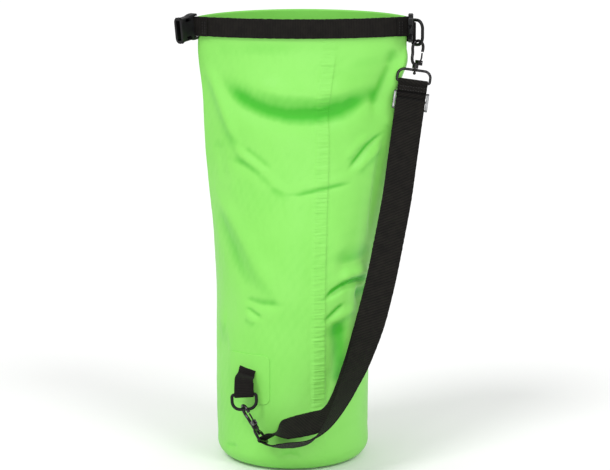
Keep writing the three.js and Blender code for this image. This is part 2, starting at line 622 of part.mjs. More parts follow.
// ---- The shoulder strap ----
// Points of each layer from the end of its straight stretch down to the lower ring: x, y, z, and how far the
// webbing has turned, in degrees, from facing the front to facing up.
const RUNNING_ROUTE = [
  [124.5, -55, 301, 0], [114, -64.5, 250, 0], [101, -76, 200, 6], [93, -83.5, 175, 18],
  [83.5, -92.5, 150, 33], [72.5, -101, 127, 47], [62.2, -107.5, 106, 56], [53.5, -111.5, 90.5, 58],
  [44, -114.5, 80, 55], [32.5, -117, 74.8, 47], [19.5, -118, 71.3, 45], [5, -118.5, 68, 47],
  [-8, -119.5, 65, 52], [-19, -120.5, 61.5, 59], [-29.5, -121, 57.5, 72],
];
const TAIL_ROUTE = [
  [124.5, -57.5, 301, 0], [114, -68, 250, 3], [101.3, -82, 200, 15], [93.5, -92, 175, 29],
  [84.8, -104, 150, 43], [74.5, -118, 127.5, 54], [64, -133, 107.5, 64], [53.7, -145, 91, 73],
  [42.5, -151.5, 77, 81], [30, -153, 64.8, 92], [16, -150, 56.8, 103], [3, -144.5, 52, 107],
  [-9, -139, 48.5, 106], [-19, -133.5, 46, 102], [-28.6, -127.5, 45.2, 98],
];
const LOWER_SPLIT = 4.5; // where round the lower ring's bar the layers meet
const STRAIGHT_END = 150; // how far the strap's top stretch hangs straight
const VIEW_FRONT = vec(0, -1, 0.2);

// Stations of a layer that starts straight at one offset and then follows its route.
function strapRun(out, from, route, steps) {
  const straight = [from, mix(from, STRAIGHT_END, 0.5), STRAIGHT_END].map((s) => [...strapPlace(s, out).point, 0]);
  const points = [...straight, ...route];
  const curve = new THREE.CatmullRomCurve3(points.map(([x, y, z]) => vec(x, y, z)));
  const stations = [];
  for (let i = 0; i <= steps; i += 1) {
    const share = i / steps;
    const at = share * (points.length - 1);
    const before = Math.min(Math.floor(at), points.length - 2);
    const turn = THREE.MathUtils.degToRad(mix(points[before][3], points[before + 1][3], at - before));
    const tangent = curve.getTangent(share);
    const facing = VIEW_FRONT.clone().addScaledVector(tangent, -VIEW_FRONT.dot(tangent)).normalize();
    const upward = tangent.clone().cross(facing);
    const face = facing.multiplyScalar(Math.cos(turn)).addScaledVector(upward, Math.sin(turn));
    const across = tangent.clone().cross(face);
    const ringWay = LOWER_ACROSS.clone().multiplyScalar(Math.sign(across.dot(LOWER_ACROSS)));
    across.lerp(ringWay, smooth(share, 0.88, 1));
    stations.push({ point: curve.getPoint(share), across });
  }
  return stations;
}

// A point of the webbing's turn round the lower ring's bar; the angle is from the bar's right, by way of its top.
function lowerWrap(angle) {
  const right = vec(1, 0, 0).addScaledVector(LOWER_ACROSS, -LOWER_ACROSS.x).normalize();
  const upward = right.clone().cross(LOWER_ACROSS);
  const point = LOWER_RING.clone().addScaledVector(right, RING_WRAP * Math.cos(angle));
  return { point: point.addScaledVector(upward, RING_WRAP * Math.sin(angle)), across: LOWER_ACROSS.clone() };
}

// Joins stretches of stations, each made to lie the same way up as the one before it.
function continued(...stretches) {
  const stations = [];
  for (const stretch of stretches) {
    const last = stations[stations.length - 1];
    const sign = last && last.across.dot(stretch[0].across) < 0 ? -1 : 1;
    stations.push(...stretch.map(({ point, across }) => ({ point, across: across.clone().multiplyScalar(sign) })));
  }
  return stations;
}

// The running layer: sewn end in front of the upper ring's bar, over it, down behind, to the lower ring and
// round the far side of its bar.
function runningWeb() {
  const top = [strapPlace(12.5, TAIL_OUT), strapPlace(6, TAIL_OUT), strapPlace(2.6, 1.5)];
  for (let i = 0; i <= 10; i += 1) {
    const angle = mix(-0.55, Math.PI, i / 10);
    top.push(strapPlace(-RING_WRAP * Math.sin(angle), RING_WRAP * Math.cos(angle)));
  }
  const run = strapRun(RUNNING_OUT, 16, RUNNING_ROUTE, 56);
  const wrap = Array.from({ length: 9 }, (_, i) => lowerWrap(mix(2.2, LOWER_SPLIT, i / 8)));
  return webbing(continued(top, run, wrap), STRAP_WIDTH);
}

// The tail layer: sewn end behind, round the slider's centre bar, and down in front to the lower ring.
function tailWeb() {
  const top = [strapPlace(SLIDER_AT + 16, TAIL_OUT), strapPlace(SLIDER_AT + 8, TAIL_OUT)];
  for (let i = 0; i <= 10; i += 1) {
    const angle = (Math.PI * i) / 10;
    top.push(strapPlace(
      SLIDER_AT - SLIDER_WRAP * Math.sin(angle), SLIDER_BAR_OUT - SLIDER_WRAP * Math.cos(angle)));
  }
  top.push(strapPlace(SLIDER_AT + 9, TAIL_OUT + LAP), strapPlace(SLIDER_AT + 18, TAIL_OUT + LAP));
  const run = strapRun(TAIL_OUT, SLIDER_AT + 28, TAIL_ROUTE, 52);
  const end = [0.4, 0.15].map((back) => lowerWrap(LOWER_SPLIT + back));
  return webbing(continued(top, run, end), STRAP_WIDTH);
}

// ---- Assembly ----
function build() {
  const bag = new THREE.Group();
  add(bag, "bag_wall", bagWall(), MATERIALS.tarpaulin);
  add(bag, "base_disc", baseDisc(), MATERIALS.tarpaulin);
  add(bag, "rim_stiffener", stiffener(), MATERIALS.plastic);
  add(bag, "closure_webbing", closureWebbing(), MATERIALS.webbing);

  const female = placed(bandEnd(-1).bar, FEMALE_WAY, FEMALE_LEAN);
  add(female, "female_buckle", femaleBuckle(), MATERIALS.plastic);
  const male = placed(bandEnd(1).bar, MALE_WAY, MALE_LEAN);
  add(male, "male_buckle_body", maleBody(), MATERIALS.plastic);
  add(male, "male_prong_upper", maleProng(1), MATERIALS.plastic);
  add(male, "male_prong_lower", maleProng(-1), MATERIALS.plastic);
  bag.add(female, male);

  add(bag, "upper_tab", upperTab(), MATERIALS.webbing);
  const upperD = placed(UPPER_BAR, UP, UPPER_BOW);
  add(upperD, "upper_d_ring", dRing(), MATERIALS.plastic);
  const up = STRAP_DOWN.clone().negate();
  hookSet(bag, "upper", UPPER_RING, up, STRAP_ACROSS, UPPER_BOW.clone().cross(STRAP_DOWN));
  const strapTop = placed(UPPER_RING, STRAP_ACROSS, up);
  add(strapTop, "slider", slider(), MATERIALS.nickel);

  add(bag, "anchor_patch", anchorPatch(), MATERIALS.tarpaulin);
  add(bag, "lower_tab", lowerTab(), MATERIALS.webbing);
  const lowerD = placed(LOWER_BAR, LOWER_BAR_WAY, LOWER_BOW);
  add(lowerD, "lower_d_ring", dRing(), MATERIALS.plastic);
  hookSet(bag, "lower", LOWER_RING, LOWER_HOOK_DOWN.clone().negate(), LOWER_ACROSS, LOWER_GATE_WAY);

  add(bag, "strap_running_layer", runningWeb(), MATERIALS.webbing);
  add(bag, "strap_tail_layer", tailWeb(), MATERIALS.webbing);
  bag.add(upperD, strapTop, lowerD);
  return bag;
}

export default build();
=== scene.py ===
import math

import bmesh
import bpy
import numpy as np
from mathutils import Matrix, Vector


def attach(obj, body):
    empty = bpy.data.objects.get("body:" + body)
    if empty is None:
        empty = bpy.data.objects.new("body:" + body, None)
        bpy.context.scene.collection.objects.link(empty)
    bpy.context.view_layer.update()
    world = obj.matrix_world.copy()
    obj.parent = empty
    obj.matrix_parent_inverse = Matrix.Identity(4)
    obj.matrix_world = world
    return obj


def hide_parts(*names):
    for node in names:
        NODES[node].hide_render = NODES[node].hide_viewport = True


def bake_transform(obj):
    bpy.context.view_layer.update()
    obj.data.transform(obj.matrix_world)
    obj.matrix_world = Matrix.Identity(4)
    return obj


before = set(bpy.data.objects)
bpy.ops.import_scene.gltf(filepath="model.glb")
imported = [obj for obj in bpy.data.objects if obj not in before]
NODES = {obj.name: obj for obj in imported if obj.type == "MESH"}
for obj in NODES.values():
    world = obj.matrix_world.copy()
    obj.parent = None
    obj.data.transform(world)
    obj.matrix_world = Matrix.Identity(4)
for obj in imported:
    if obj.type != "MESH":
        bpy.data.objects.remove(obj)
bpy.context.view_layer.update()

# The looks of a roll-top dry bag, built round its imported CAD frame.
# Shapes are worked out in millimetres in the CAD's frame and written to Blender in metres.

MM = 0.001

# ---------------------------------------------------------------- camera and stage
CAMERA_AT = (0.016, -3.0, 0.890)
CAMERA_PITCH = 11.22  # degrees below the horizon
CAMERA_LENS = 137.66
SENSOR_WIDTH = 36.0
WORLD_STRENGTH = 0.66
FLOOR_HALF = 30.0
FLOOR_TONE = 0.93
# name, azimuth and elevation in degrees, strength, and how many degrees wide the light is
LIGHTS = [
    ("left_softbox", -42, 50, 1.25, 22),
    ("right_softbox", 40, 42, 0.85, 22),
    ("low_fill", 4, 9, 0.5, 30),
]


def make_camera():
    data = bpy.data.cameras.new("camera")
    data.lens = CAMERA_LENS
    data.sensor_width = SENSOR_WIDTH
    data.sensor_fit = "HORIZONTAL"
    data.clip_end = 100.0
    camera = bpy.data.objects.new("camera", data)
    camera.location = CAMERA_AT
    camera.rotation_euler = (math.radians(90 - CAMERA_PITCH), 0, 0)
    bpy.context.scene.collection.objects.link(camera)
    bpy.context.scene.camera = camera


def soft_sun(name, azimuth, elevation, strength, spread):
    """A wide soft light: the azimuth is measured from the camera's side, to the right."""
    data = bpy.data.lights.new(name, "SUN")
    data.energy = strength
    data.angle = math.radians(spread)
    light = bpy.data.objects.new(name, data)
    a, e = math.radians(azimuth), math.radians(elevation)
    towards = Vector((-math.sin(a) * math.cos(e), math.cos(a) * math.cos(e), -math.sin(e)))
    light.rotation_euler = towards.to_track_quat("-Z", "Y").to_euler()
    bpy.context.scene.collection.objects.link(light)


def make_stage():
    world = bpy.data.worlds.new("world")
    bpy.context.scene.world = world
    world.use_nodes = True
    background = world.node_tree.nodes["Background"]
    background.inputs["Color"].default_value = (1, 1, 1, 1)
    background.inputs["Strength"].default_value = WORLD_STRENGTH
    bpy.context.scene.view_settings.view_transform = "Standard"
    for light in LIGHTS:
        soft_sun(*light)
    corners = [(x * FLOOR_HALF, y * FLOOR_HALF, 0) for x, y in ((-1, -1), (1, -1), (1, 1), (-1, 1))]
    floor = mesh_object("floor", corners, [(0, 1, 2, 3)], 1.0)
    floor.data.materials.append(simple_material("floor_paint", grey(FLOOR_TONE), 0.9))


# ---------------------------------------------------------------- node materials
SCRIM_PITCH = 0.0011  # metres, the cloth that shows faintly through the coating
YARN_PITCH = 0.0013
WEBBING_DARK, WEBBING_LIGHT = (0.0030, 0.0024, 0.0020), (0.0098, 0.0082, 0.0064)
# the near-black colour of the painted shadow at the strap's lap steps
LAP_SHADOW_COLOUR = (0.0008, 0.0007, 0.0006)


def material(name):
    made = bpy.data.materials.new(name)
    made.use_nodes = True
    tree = made.node_tree
    tree.nodes.clear()
    output = tree.nodes.new("ShaderNodeOutputMaterial")
    shader = tree.nodes.new("ShaderNodeBsdfPrincipled")
    tree.links.new(shader.outputs["BSDF"], output.inputs["Surface"])
    return made, tree, shader


def simple_material(name, colour, roughness):
    made, _, shader = material(name)
    shader.inputs["Base Color"].default_value = (*colour, 1)
    shader.inputs["Roughness"].default_value = roughness
    return made


def node(tree, kind, **values):
    made = tree.nodes.new("ShaderNode" + kind)
    for key, value in values.items():
        if key in made.inputs:
            made.inputs[key].default_value = value
        else:
            setattr(made, key, value)
    return made


def noise(tree, vector, scale, detail=3.0, roughness=0.55):
    made = node(tree, "TexNoise", Scale=scale, Detail=detail, Roughness=roughness)
    if vector is not None:
        tree.links.new(vector, made.inputs["Vector"])
    return made.outputs["Fac"]


def ramp(tree, value, stops):
    made = tree.nodes.new("ShaderNodeValToRGB")
    elements = made.color_ramp.elements
    while len(elements) < len(stops):
        elements.new(0.5)
    for element, (position, colour) in zip(elements, stops):
        element.position = position
        element.color = (*colour, 1) if len(colour) == 3 else colour
    tree.links.new(value, made.inputs["Fac"])
    return made.outputs["Color"]


def grey(v):
    return (v, v, v)


def maths(tree, operation, a, b=None):
    made = node(tree, "Math", operation=operation)
    for i, value in enumerate((a, b)):
        if value is None:
            continue
        if isinstance(value, (int, float)):
            made.inputs[i].default_value = value
        else:
            tree.links.new(value, made.inputs[i])
    return made.outputs[0]


def bump(tree, shader, height, distance, strength=1.0, below=None):
    made = node(tree, "Bump", Strength=strength, Distance=distance)
    tree.links.new(height, made.inputs["Height"])
    if below is not None:
        tree.links.new(below, made.inputs["Normal"])
    tree.links.new(made.outputs["Normal"], shader.inputs["Normal"])
    return made.outputs["Normal"]


def flat_position(tree):
    """The piece's own flat position in metres: across or round it, and along or up it; its third part is
    the painted shade.
    """
    return node(tree, "Attribute", attribute_name="flat", attribute_type="GEOMETRY").outputs["Vector"]


def parts_of(tree, vector):
    made = tree.nodes.new("ShaderNodeSeparateXYZ")
    tree.links.new(vector, made.inputs[0])
    return made.outputs[0], made.outputs[1], made.outputs[2]


def tarpaulin_material(name, colour, deep, painted_fold_shade):
    """PVC-coated cloth with painted shade: its colour deepens towards a dark green where the flat
    position's third part gives the painted shade of the folds.
    """
    made, tree, shader = material(name)
    flat = flat_position(tree)
    across, along, painted_shade = parts_of(tree, flat)
    place = node(tree, "TexCoord").outputs["Object"]
    broad = noise(tree, place, 9.0, 4.0)
    # painted shade: the flat position's third part mixes the green towards the dark painted-shade green
    mixed = node(tree, "Mix", data_type="RGBA")
    tree.links.new(painted_shade, mixed.inputs[0])
    tree.links.new(ramp(tree, broad, [(0.3, deep), (0.7, colour)]), mixed.inputs[6])
    mixed.inputs[7].default_value = (*painted_fold_shade, 1)
    tree.links.new(mixed.outputs[2], shader.inputs["Base Color"])
    fine = noise(tree, flat, 260.0, 3.0)
    tree.links.new(ramp(tree, fine, [(0.2, grey(0.36)), (0.8, grey(0.5))]), shader.inputs["Roughness"])
    warp = maths(tree, "SINE", maths(tree, "MULTIPLY", across, 2 * math.pi / SCRIM_PITCH))
    weft = maths(tree, "SINE", maths(tree, "MULTIPLY", along, 2 * math.pi / SCRIM_PITCH))
    scrim = maths(tree, "MULTIPLY", warp, weft)
    low = bump(tree, shader, noise(tree, place, 38.0, 5.0, 0.6), 0.0016, 0.35)
    # fine short puckers across the lap seam
    from_seam = maths(tree, "ABSOLUTE", maths(tree, "SUBTRACT", across, (SEAM_FROM + SEAM_TO) / 2 * MM))
    inside = node(tree, "MapRange", clamp=True)
    tree.links.new(from_seam, inside.inputs["Value"])
    for socket, value in (("From Min", 0.012), ("From Max", 0.007), ("To Min", 0.0), ("To Max", 1.0)):
        inside.inputs[socket].default_value = value
    drawn = node(tree, "CombineXYZ")
    tree.links.new(maths(tree, "MULTIPLY", across, 0.12), drawn.inputs[0])
    tree.links.new(along, drawn.inputs[1])
    gathers = maths(tree, "MULTIPLY", noise(tree, drawn.outputs[0], 330.0, 2.0), inside.outputs["Result"])
    low = bump(tree, shader, gathers, 0.0016, 0.7, low)
    bump(tree, shader, scrim, 0.00005, 0.12, low)
    shader.inputs["Specular IOR Level"].default_value = 0.28
    return made


def webbing_material(name, pitch, slant):
    """Black webbing, its ribs at a slant of so many metres across for each metre along, darkened with
    painted shadow where the flat position's third part gives it.
    """
    made, tree, shader = material(name)
    flat = flat_position(tree)
    across, along, lap_shadow_amount = parts_of(tree, flat)
    leaning = maths(tree, "ADD", maths(tree, "MULTIPLY", across, slant), along)
    rib = maths(tree, "SINE", maths(tree, "MULTIPLY", leaning, 2 * math.pi / pitch))
    yarn = maths(tree, "SINE", maths(tree, "MULTIPLY", across, 2 * math.pi / YARN_PITCH))
    weave = maths(tree, "ADD", rib, maths(tree, "MULTIPLY", yarn, 0.5))
    shade = maths(tree, "ADD", maths(tree, "MULTIPLY", weave, 0.2), noise(tree, flat, 90.0, 4.0))
    stops = [(0.3, WEBBING_DARK), (0.75, WEBBING_LIGHT)]
    # painted shadow: near black is mixed in where the flat position's third part marks the lap steps
    mixed = node(tree, "Mix", data_type="RGBA")
    tree.links.new(lap_shadow_amount, mixed.inputs[0])
    tree.links.new(ramp(tree, shade, stops), mixed.inputs[6])
    mixed.inputs[7].default_value = (*LAP_SHADOW_COLOUR, 1)
    tree.links.new(mixed.outputs[2], shader.inputs["Base Color"])
    shader.inputs["Roughness"].default_value = 0.78
    shader.inputs["Sheen Weight"].default_value = 0.03
    shader.inputs["Sheen Roughness"].default_value = 0.5
    shader.inputs["Specular IOR Level"].default_value = 0.16
    low = bump(tree, shader, weave, 0.00022, 0.8)
    bump(tree, shader, noise(tree, flat, 900.0, 2.0), 0.0001, 0.4, low)
    return made


def hard_material(name, colour, roughness, metallic):
    """Moulded plastic or plated metal, with faint mottling and handling marks."""
    made, tree, shader = material(name)
    place = node(tree, "TexCoord").outputs["Object"]
    mottle = noise(tree, place, 120.0, 4.0)
    dark = tuple(c * 0.75 for c in colour)
    light = tuple(min(1, c * 1.35) for c in colour)
    tree.links.new(ramp(tree, mottle, [(0.3, dark), (0.7, light)]), shader.inputs["Base Color"])
    stops = [(0.3, grey(max(0.05, roughness - 0.07))), (0.7, grey(roughness + 0.07))]
    tree.links.new(ramp(tree, noise(tree, place, 300.0), stops), shader.inputs["Roughness"])
    shader.inputs["Metallic"].default_value = metallic
    shader.inputs["Specular IOR Level"].default_value = 0.5 if metallic else 0.2
    bump(tree, shader, noise(tree, place, 900.0, 2.0), 0.00002, 0.25 if metallic else 0.5)
    return made


# ---------------------------------------------------------------- mesh helpers
def mesh_object(name, vertices, faces, scale=MM):
    mesh = bpy.data.meshes.new(name)
    mesh.from_pydata([tuple(float(c) * scale for c in v) for v in vertices], [], faces)
    mesh.validate()
    made = bpy.data.objects.new(name, mesh)
    bpy.context.scene.collection.objects.link(made)
    mesh.polygons.foreach_set("use_smooth", [True] * len(mesh.polygons))
    mesh.update()
    return made


def set_flat(obj, flat, painted_shade=0.0, around=0.0):
    """Stores each face corner's flat position, given in millimetres, and how much painted shade it gets,
    from 0 to 1.

    around is the length of a closed wall, so that the faces that close it don't run back through it.
    """
    mesh = obj.data
    values = np.zeros((len(mesh.vertices), 3), np.float32)
    values[:, :2] = np.asarray(flat, float)[:, :2]
    values[:, 2] = painted_shade
    corners = np.zeros(len(mesh.loops), np.int32)
    mesh.loops.foreach_get("vertex_index", corners)
    values = values[corners]
    if around:
        starts, totals = (np.zeros(len(mesh.polygons), np.int32) for _ in range(2))
        mesh.polygons.foreach_get("loop_start", starts)
        mesh.polygons.foreach_get("loop_total", totals)
        highest = np.repeat(np.maximum.reduceat(values[:, 0], starts), totals)
        values[:, 0] += np.where(highest - values[:, 0] > around / 2, around, 0)
    values[:, :2] *= MM
    attribute = mesh.attributes.new("flat", "FLOAT_VECTOR", "CORNER")
    attribute.data.foreach_set("vector", values.ravel())


def crease_by_angle(obj, degrees):
    obj.data.set_sharp_from_angle(angle=math.radians(degrees))


def finish_piece(obj, made, body, slot_name, *replaced):
    obj.data.materials.append(made)
    if body:
        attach(obj, body)
    if replaced:
        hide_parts(*replaced)
    return obj


def grid_faces(rows, columns, close_columns=False, close_rows=False):
    faces = []
    for i in range(rows if close_rows else rows - 1):
        for j in range(columns if close_columns else columns - 1):
            a = i * columns + j
            b = i * columns + (j + 1) % columns
            c = ((i + 1) % rows) * columns + (j + 1) % columns
            d = ((i + 1) % rows) * columns + j
            faces.append((a, b, c, d))
    return faces


# ---------------------------------------------------------------- the wall's shape, as in the CAD
BAG_RADIUS = 100.0
BAG_HEIGHT = 584.0
BASE_EDGE_RADIUS = 22.0
BASE_DISC = 1.0
GAP = 0.3
MOUTH_HALF_CHORD = 133.5
MOUTH_MIDDLE = (12.5, -18.0)
FRONT_SHARE = 4 / 9
FLARE_START, FLARE_MIDDLE, FLARE_END = 230.0, 470.0, 550.0
LOWER_FLARE, LOWER_SHIFT = 0.6, 0.35
SEAM_FROM, SEAM_TO = 26.0, 43.5
SEAM_TOP = 545.0
SEAM_EDGE = 0.7
GIRTH = 2 * math.pi * BAG_RADIUS
FRONT_HALF = GIRTH * FRONT_SHARE / 2
BACK_HALF = GIRTH / 2 - FRONT_HALF


def half_angle(half_length, half_chord):
    """Half the angle of an arc of a known length over a known chord."""
    low, high = 0.01, math.pi / 2
    for _ in range(50):
        middle = (low + high) / 2
        if math.sin(middle) / middle > half_chord / half_length:
            low = middle
        else:
            high = middle
    return (low + high) / 2


FRONT_ANGLE = half_angle(FRONT_HALF, MOUTH_HALF_CHORD)
BACK_ANGLE = half_angle(BACK_HALF, MOUTH_HALF_CHORD)
FRONT_RADIUS = FRONT_HALF / FRONT_ANGLE
BACK_RADIUS = BACK_HALF / BACK_ANGLE
FRONT_CENTRE = MOUTH_MIDDLE[1] + FRONT_RADIUS * math.cos(FRONT_ANGLE)
BACK_CENTRE = MOUTH_MIDDLE[1] - BACK_RADIUS * math.cos(BACK_ANGLE)


def smooth(x, low, high):
    t = np.clip((np.asarray(x, float) - low) / (high - low), 0, 1)
    return t * t * (3 - 2 * t)


def wall_point(arc, z, offset):
    """Points of the wall at distances round it from the front centre, at heights and offsets outwards."""
    arc, z, offset = np.broadcast_arrays(*(np.asarray(v, float) for v in (arc, z, offset)))
    lower = smooth(z, FLARE_START, FLARE_MIDDLE)
    upper = smooth(z, FLARE_MIDDLE, FLARE_END)
    flat = LOWER_FLARE * lower + (1 - LOWER_FLARE) * upper
    shift = LOWER_SHIFT * lower + (1 - LOWER_SHIFT) * upper
    angle = arc / BAG_RADIUS
    round_x = np.sin(angle) * (BAG_RADIUS + offset)
    round_y = -np.cos(angle) * (BAG_RADIUS + offset)
    front = arc / FRONT_HALF * FRONT_ANGLE
    back = np.sign(arc) * (GIRTH / 2 - np.abs(arc)) * BACK_ANGLE / BACK_HALF
    inside = np.abs(arc) <= FRONT_HALF
    front_x = (FRONT_RADIUS + offset) * np.sin(front)
    back_x = (BACK_RADIUS + offset) * np.sin(back)
    mouth_x = np.where(inside, front_x, back_x)
    front_y = FRONT_CENTRE - (FRONT_RADIUS + offset) * np.cos(front)
    back_y = BACK_CENTRE + (BACK_RADIUS + offset) * np.cos(back)
    mouth_y = np.where(inside, front_y, back_y) - MOUTH_MIDDLE[1]
    x = round_x * (1 - flat) + mouth_x * flat + MOUTH_MIDDLE[0] * shift
    y = round_y * (1 - flat) + mouth_y * flat + MOUTH_MIDDLE[1] * shift
    return np.stack([x, y, z], -1)


def mouth_frame(share, side_offset=0.0):
    """A point on the front of the mouth at a share of its half length, and its outward normal."""
    angle = share * FRONT_ANGLE
    normal = np.array([math.sin(angle), -math.cos(angle), 0.0])
    centre = np.array([MOUTH_MIDDLE[0], FRONT_CENTRE, 0.0])
    return centre + normal * (FRONT_RADIUS + side_offset), normal


# ---------------------------------------------------------------- folds
# Each fold is a line of places on the wall (round it, up it), its depth (outwards is positive) and its
# half width.
FOLDS = [
    # the front, from the mouth down
    ([(-118, 503), (-104, 496), (-86, 485), (-64, 473), (-40, 464), (-10, 458), (30, 458), (70, 466),
      (104, 478)], -6.6, 16),
    ([(-132, 524), (-117, 500), (-104, 476), (-88, 444), (-76, 416)], 4.6, 9),
    ([(-60, 500), (-20, 492), (30, 488), (80, 496)], 2.4, 12),
    ([(60, 470), (90, 478), (116, 488)], -2.4, 12),
    ([(-88, 426), (-69, 408), (-48, 393), (-27, 375), (-2, 362)], 1.9, 6.5),
    ([(-90, 402), (-66, 397), (-44, 387), (-24, 368)], -1.7, 7),
    ([(-70, 420), (-52, 408), (-30, 392)], -1.2, 5),
    ([(-10, 362), (7, 361), (30, 366), (53, 370), (78, 373)], -1.1, 3.2),
    ([(-4, 369), (30, 376), (80, 382)], 1.1, 6),
    ([(70, 388), (85, 403), (102, 419), (126, 434)], -3.0, 4.2),
    ([(84, 388), (106, 404), (128, 418)], 2.0, 6),
    ([(66, 404), (84, 420), (104, 434)], 1.6, 6),
    ([(-128, 366), (-96, 335), (-64, 297), (-40, 261), (-18, 226)], 3.0, 13),
    ([(-120, 334), (-92, 292), (-66, 252), (-50, 222)], -2.2, 15),
    ([(-112, 430), (-104, 400), (-100, 370)], -1.4, 9),
    ([(-68, 227), (-40, 222), (-14, 222)], -2.0, 6),
    ([(-64, 216), (-52, 210), (-40, 203)], -1.9, 3.6),
    ([(-66, 206), (-48, 198)], 1.2, 5),
    ([(40, 226), (53, 235), (69, 242), (84, 245), (104, 245), (126, 240)], -6.0, 4.6),
    ([(60, 252), (82, 257), (108, 257), (132, 252)], 4.6, 8),
    ([(54, 275), (82, 274), (112, 276), (130, 280)], -3.2, 12),
    ([(92, 228), (112, 226), (134, 224)], -5.5, 12),
    ([(40, 198), (48, 203), (58, 210), (72, 220)], -2.4, 3.6),
    ([(52, 194), (70, 203), (96, 213)], 2.0, 6.5),
    ([(58, 206), (66, 172), (70, 138), (66, 96)], -6.4, 15),
    ([(94, 190), (98, 160), (96, 130)], 1.8, 14),
    ([(-128, 158), (-108, 160), (-92, 163)], -1.6, 14),
    ([(-130, 196), (-100, 190)], 1.6, 12),
    ([(-20, 19), (-11, 24), (-3, 26), (5, 24), (14, 18)], -1.7, 2.8),
    ([(-18, 36), (-3, 40), (12, 35)], 2.0, 7),
    ([(-108, 22), (-80, 27)], -2.2, 3.6),
    ([(70, 15), (108, 15)], -1.8, 3.6),
    ([(140, 550), (141, 505), (143, 460), (146, 420)], 8.5, 15),
    ([(143, 480), (146, 420), (149, 365), (152, 305), (154, 235)], 7.6, 22),
    ([(119, 548), (123, 522), (118, 492), (110, 455)], -4.5, 9),
    ([(129, 440), (125, 400), (122, 350), (120, 296)], -3.0, 5),
    # the right side, the back and the left side
    ([(150, 40), (190, 46), (220, 38)], -1.8, 7),
    ([(-150, 30), (-190, 40), (-214, 36)], -1.5, 7),
    ([(150, 238), (180, 250), (215, 262), (250, 256), (296, 268)], -3.2, 8),
    ([(184, 280), (230, 290), (286, 292)], 2.4, 11),
    ([(-186, 236), (-230, 244), (-278, 232)], -2.6, 8),
    ([(-166, 262), (-215, 268), (-266, 262)], 2.0, 11),
    ([(-176, 424), (-220, 400), (-262, 372), (-296, 348)], 3.0, 10),
    ([(-160, 398), (-200, 376), (-244, 343)], -2.4, 10),
    ([(164, 434), (205, 404), (249, 378)], 2.6, 10),
    ([(176, 398), (220, 372), (262, 360), (304, 362)], -2.2, 7),
    ([(196, 140), (240, 152), (289, 146)], -1.8, 8),
    ([(-206, 120), (-250, 128), (-294, 120)], -1.6, 9),
    ([(-200, 500), (-240, 488), (-300, 484)], -2.6, 16),
    ([(200, 505), (250, 492), (310, 486)], -2.6, 16),
]


NEAR_BACK = 260.0  # a fold that reaches this far round the wall also shows across its back line
BROAD_WOBBLE, MIDDLE_WOBBLE, FINE_WOBBLE = 0.7, 0.28, 0.10
SEAM_RISE, PUCKER_DEPTH = 0.7, 0.3


def fold_height(arc, z, line, depth, width):
    """A fold's height at each place: a soft ridge or groove that fades out at its two ends."""
    sizes = [math.hypot(b[0] - a[0], b[1] - a[1]) for a, b in zip(line[:-1], line[1:])]
    length = sum(sizes)
    near, at, before = np.full(arc.shape, 1e9), np.zeros(arc.shape), 0.0
    for (ax, az), (bx, bz), size in zip(line[:-1], line[1:], sizes):
        dx, dz = bx - ax, bz - az
        share = np.clip(((arc - ax) * dx + (z - az) * dz) / (dx * dx + dz * dz), 0, 1)
        distance = np.hypot(arc - ax - share * dx, z - az - share * dz)
        closer = distance < near
        near, at = np.where(closer, distance, near), np.where(closer, before + share * size, at)
        before += size
    fade = 0.25 * length
    ends = 0.1 + 0.9 * smooth(at, 0, fade) * smooth(length - at, 0, fade)
    return depth * ends * np.exp(-((near / (width * (0.75 + 0.25 * ends))) ** 2))


def ripple(a, b, seed):
    """Smooth repeatable noise of about unit size; a and b are already divided by its wavelength."""
    total = np.zeros(np.broadcast(a, b).shape)
    draw = np.random.RandomState(seed)
    for _ in range(7):
        turn, phase = draw.uniform(0, 2 * math.pi), draw.uniform(0, 2 * math.pi)
        stretch = draw.uniform(0.6, 1.6)
        total = total + np.sin(stretch * 2 * math.pi * (a * math.cos(turn) + b * math.sin(turn)) + phase)
    return total / 2.6


def relief(arc, z):
    """How far the wall stands out from its plain shape, in millimetres."""
    arc, z = np.broadcast_arrays(np.asarray(arc, float), np.asarray(z, float))
    out = np.zeros(arc.shape)
    for line, depth, width in FOLDS:
        out += fold_height(arc, z, line, depth, width)
        if max(abs(a) for a, _ in line) > NEAR_BACK:
            out += fold_height(arc - GIRTH, z, line, depth, width)
            out += fold_height(arc + GIRTH, z, line, depth, width)
    # the broad wobble of a soft wall, held still at the seam, the stiffened mouth and the base
    seam = 1 - np.exp(-(((arc - 35) / 26) ** 2))
    turn = arc / GIRTH
    broad = np.sin(2 * math.pi * (2 * turn + z / 310) + 0.6)
    broad = broad + np.sin(2 * math.pi * (3 * turn - z / 240) + 2.1)
    out += BROAD_WOBBLE * broad * seam
    out += MIDDLE_WOBBLE * ripple(np.cos(2 * math.pi * turn) * 2.6, z / 60, 4)
    out += FINE_WOBBLE * ripple(np.sin(2 * math.pi * turn) * 9 + np.cos(2 * math.pi * turn) * 7, z / 22, 9)
    hold = smooth(z, 6, 34) * (1 - smooth(z, 535, 556))
    return out * hold


def pucker(arc, z):
    """The lap seam: a soft rise at its left, a crisp edge at its right, and short puckers along it."""
    middle = (SEAM_FROM + SEAM_TO) / 2
    rise = smooth(arc, SEAM_FROM - 1.5, SEAM_FROM + 1.5)
    rise = rise * (1 - smooth(arc, SEAM_TO - 0.05, SEAM_TO + SEAM_EDGE))
    reach = np.exp(-(((arc - middle) / 9.5) ** 4))
    wave = 0.6 * ripple(arc / 70, z / 9.0, 21) + ripple(arc / 60, z / 5.0, 22)
    wave = wave + 0.6 * ripple(arc / 40, z / 4.2, 25)
    fade = smooth(z, 26, 48) * (1 - smooth(z, 525, SEAM_TOP))
    return (SEAM_RISE * rise + PUCKER_DEPTH * wave * reach) * fade


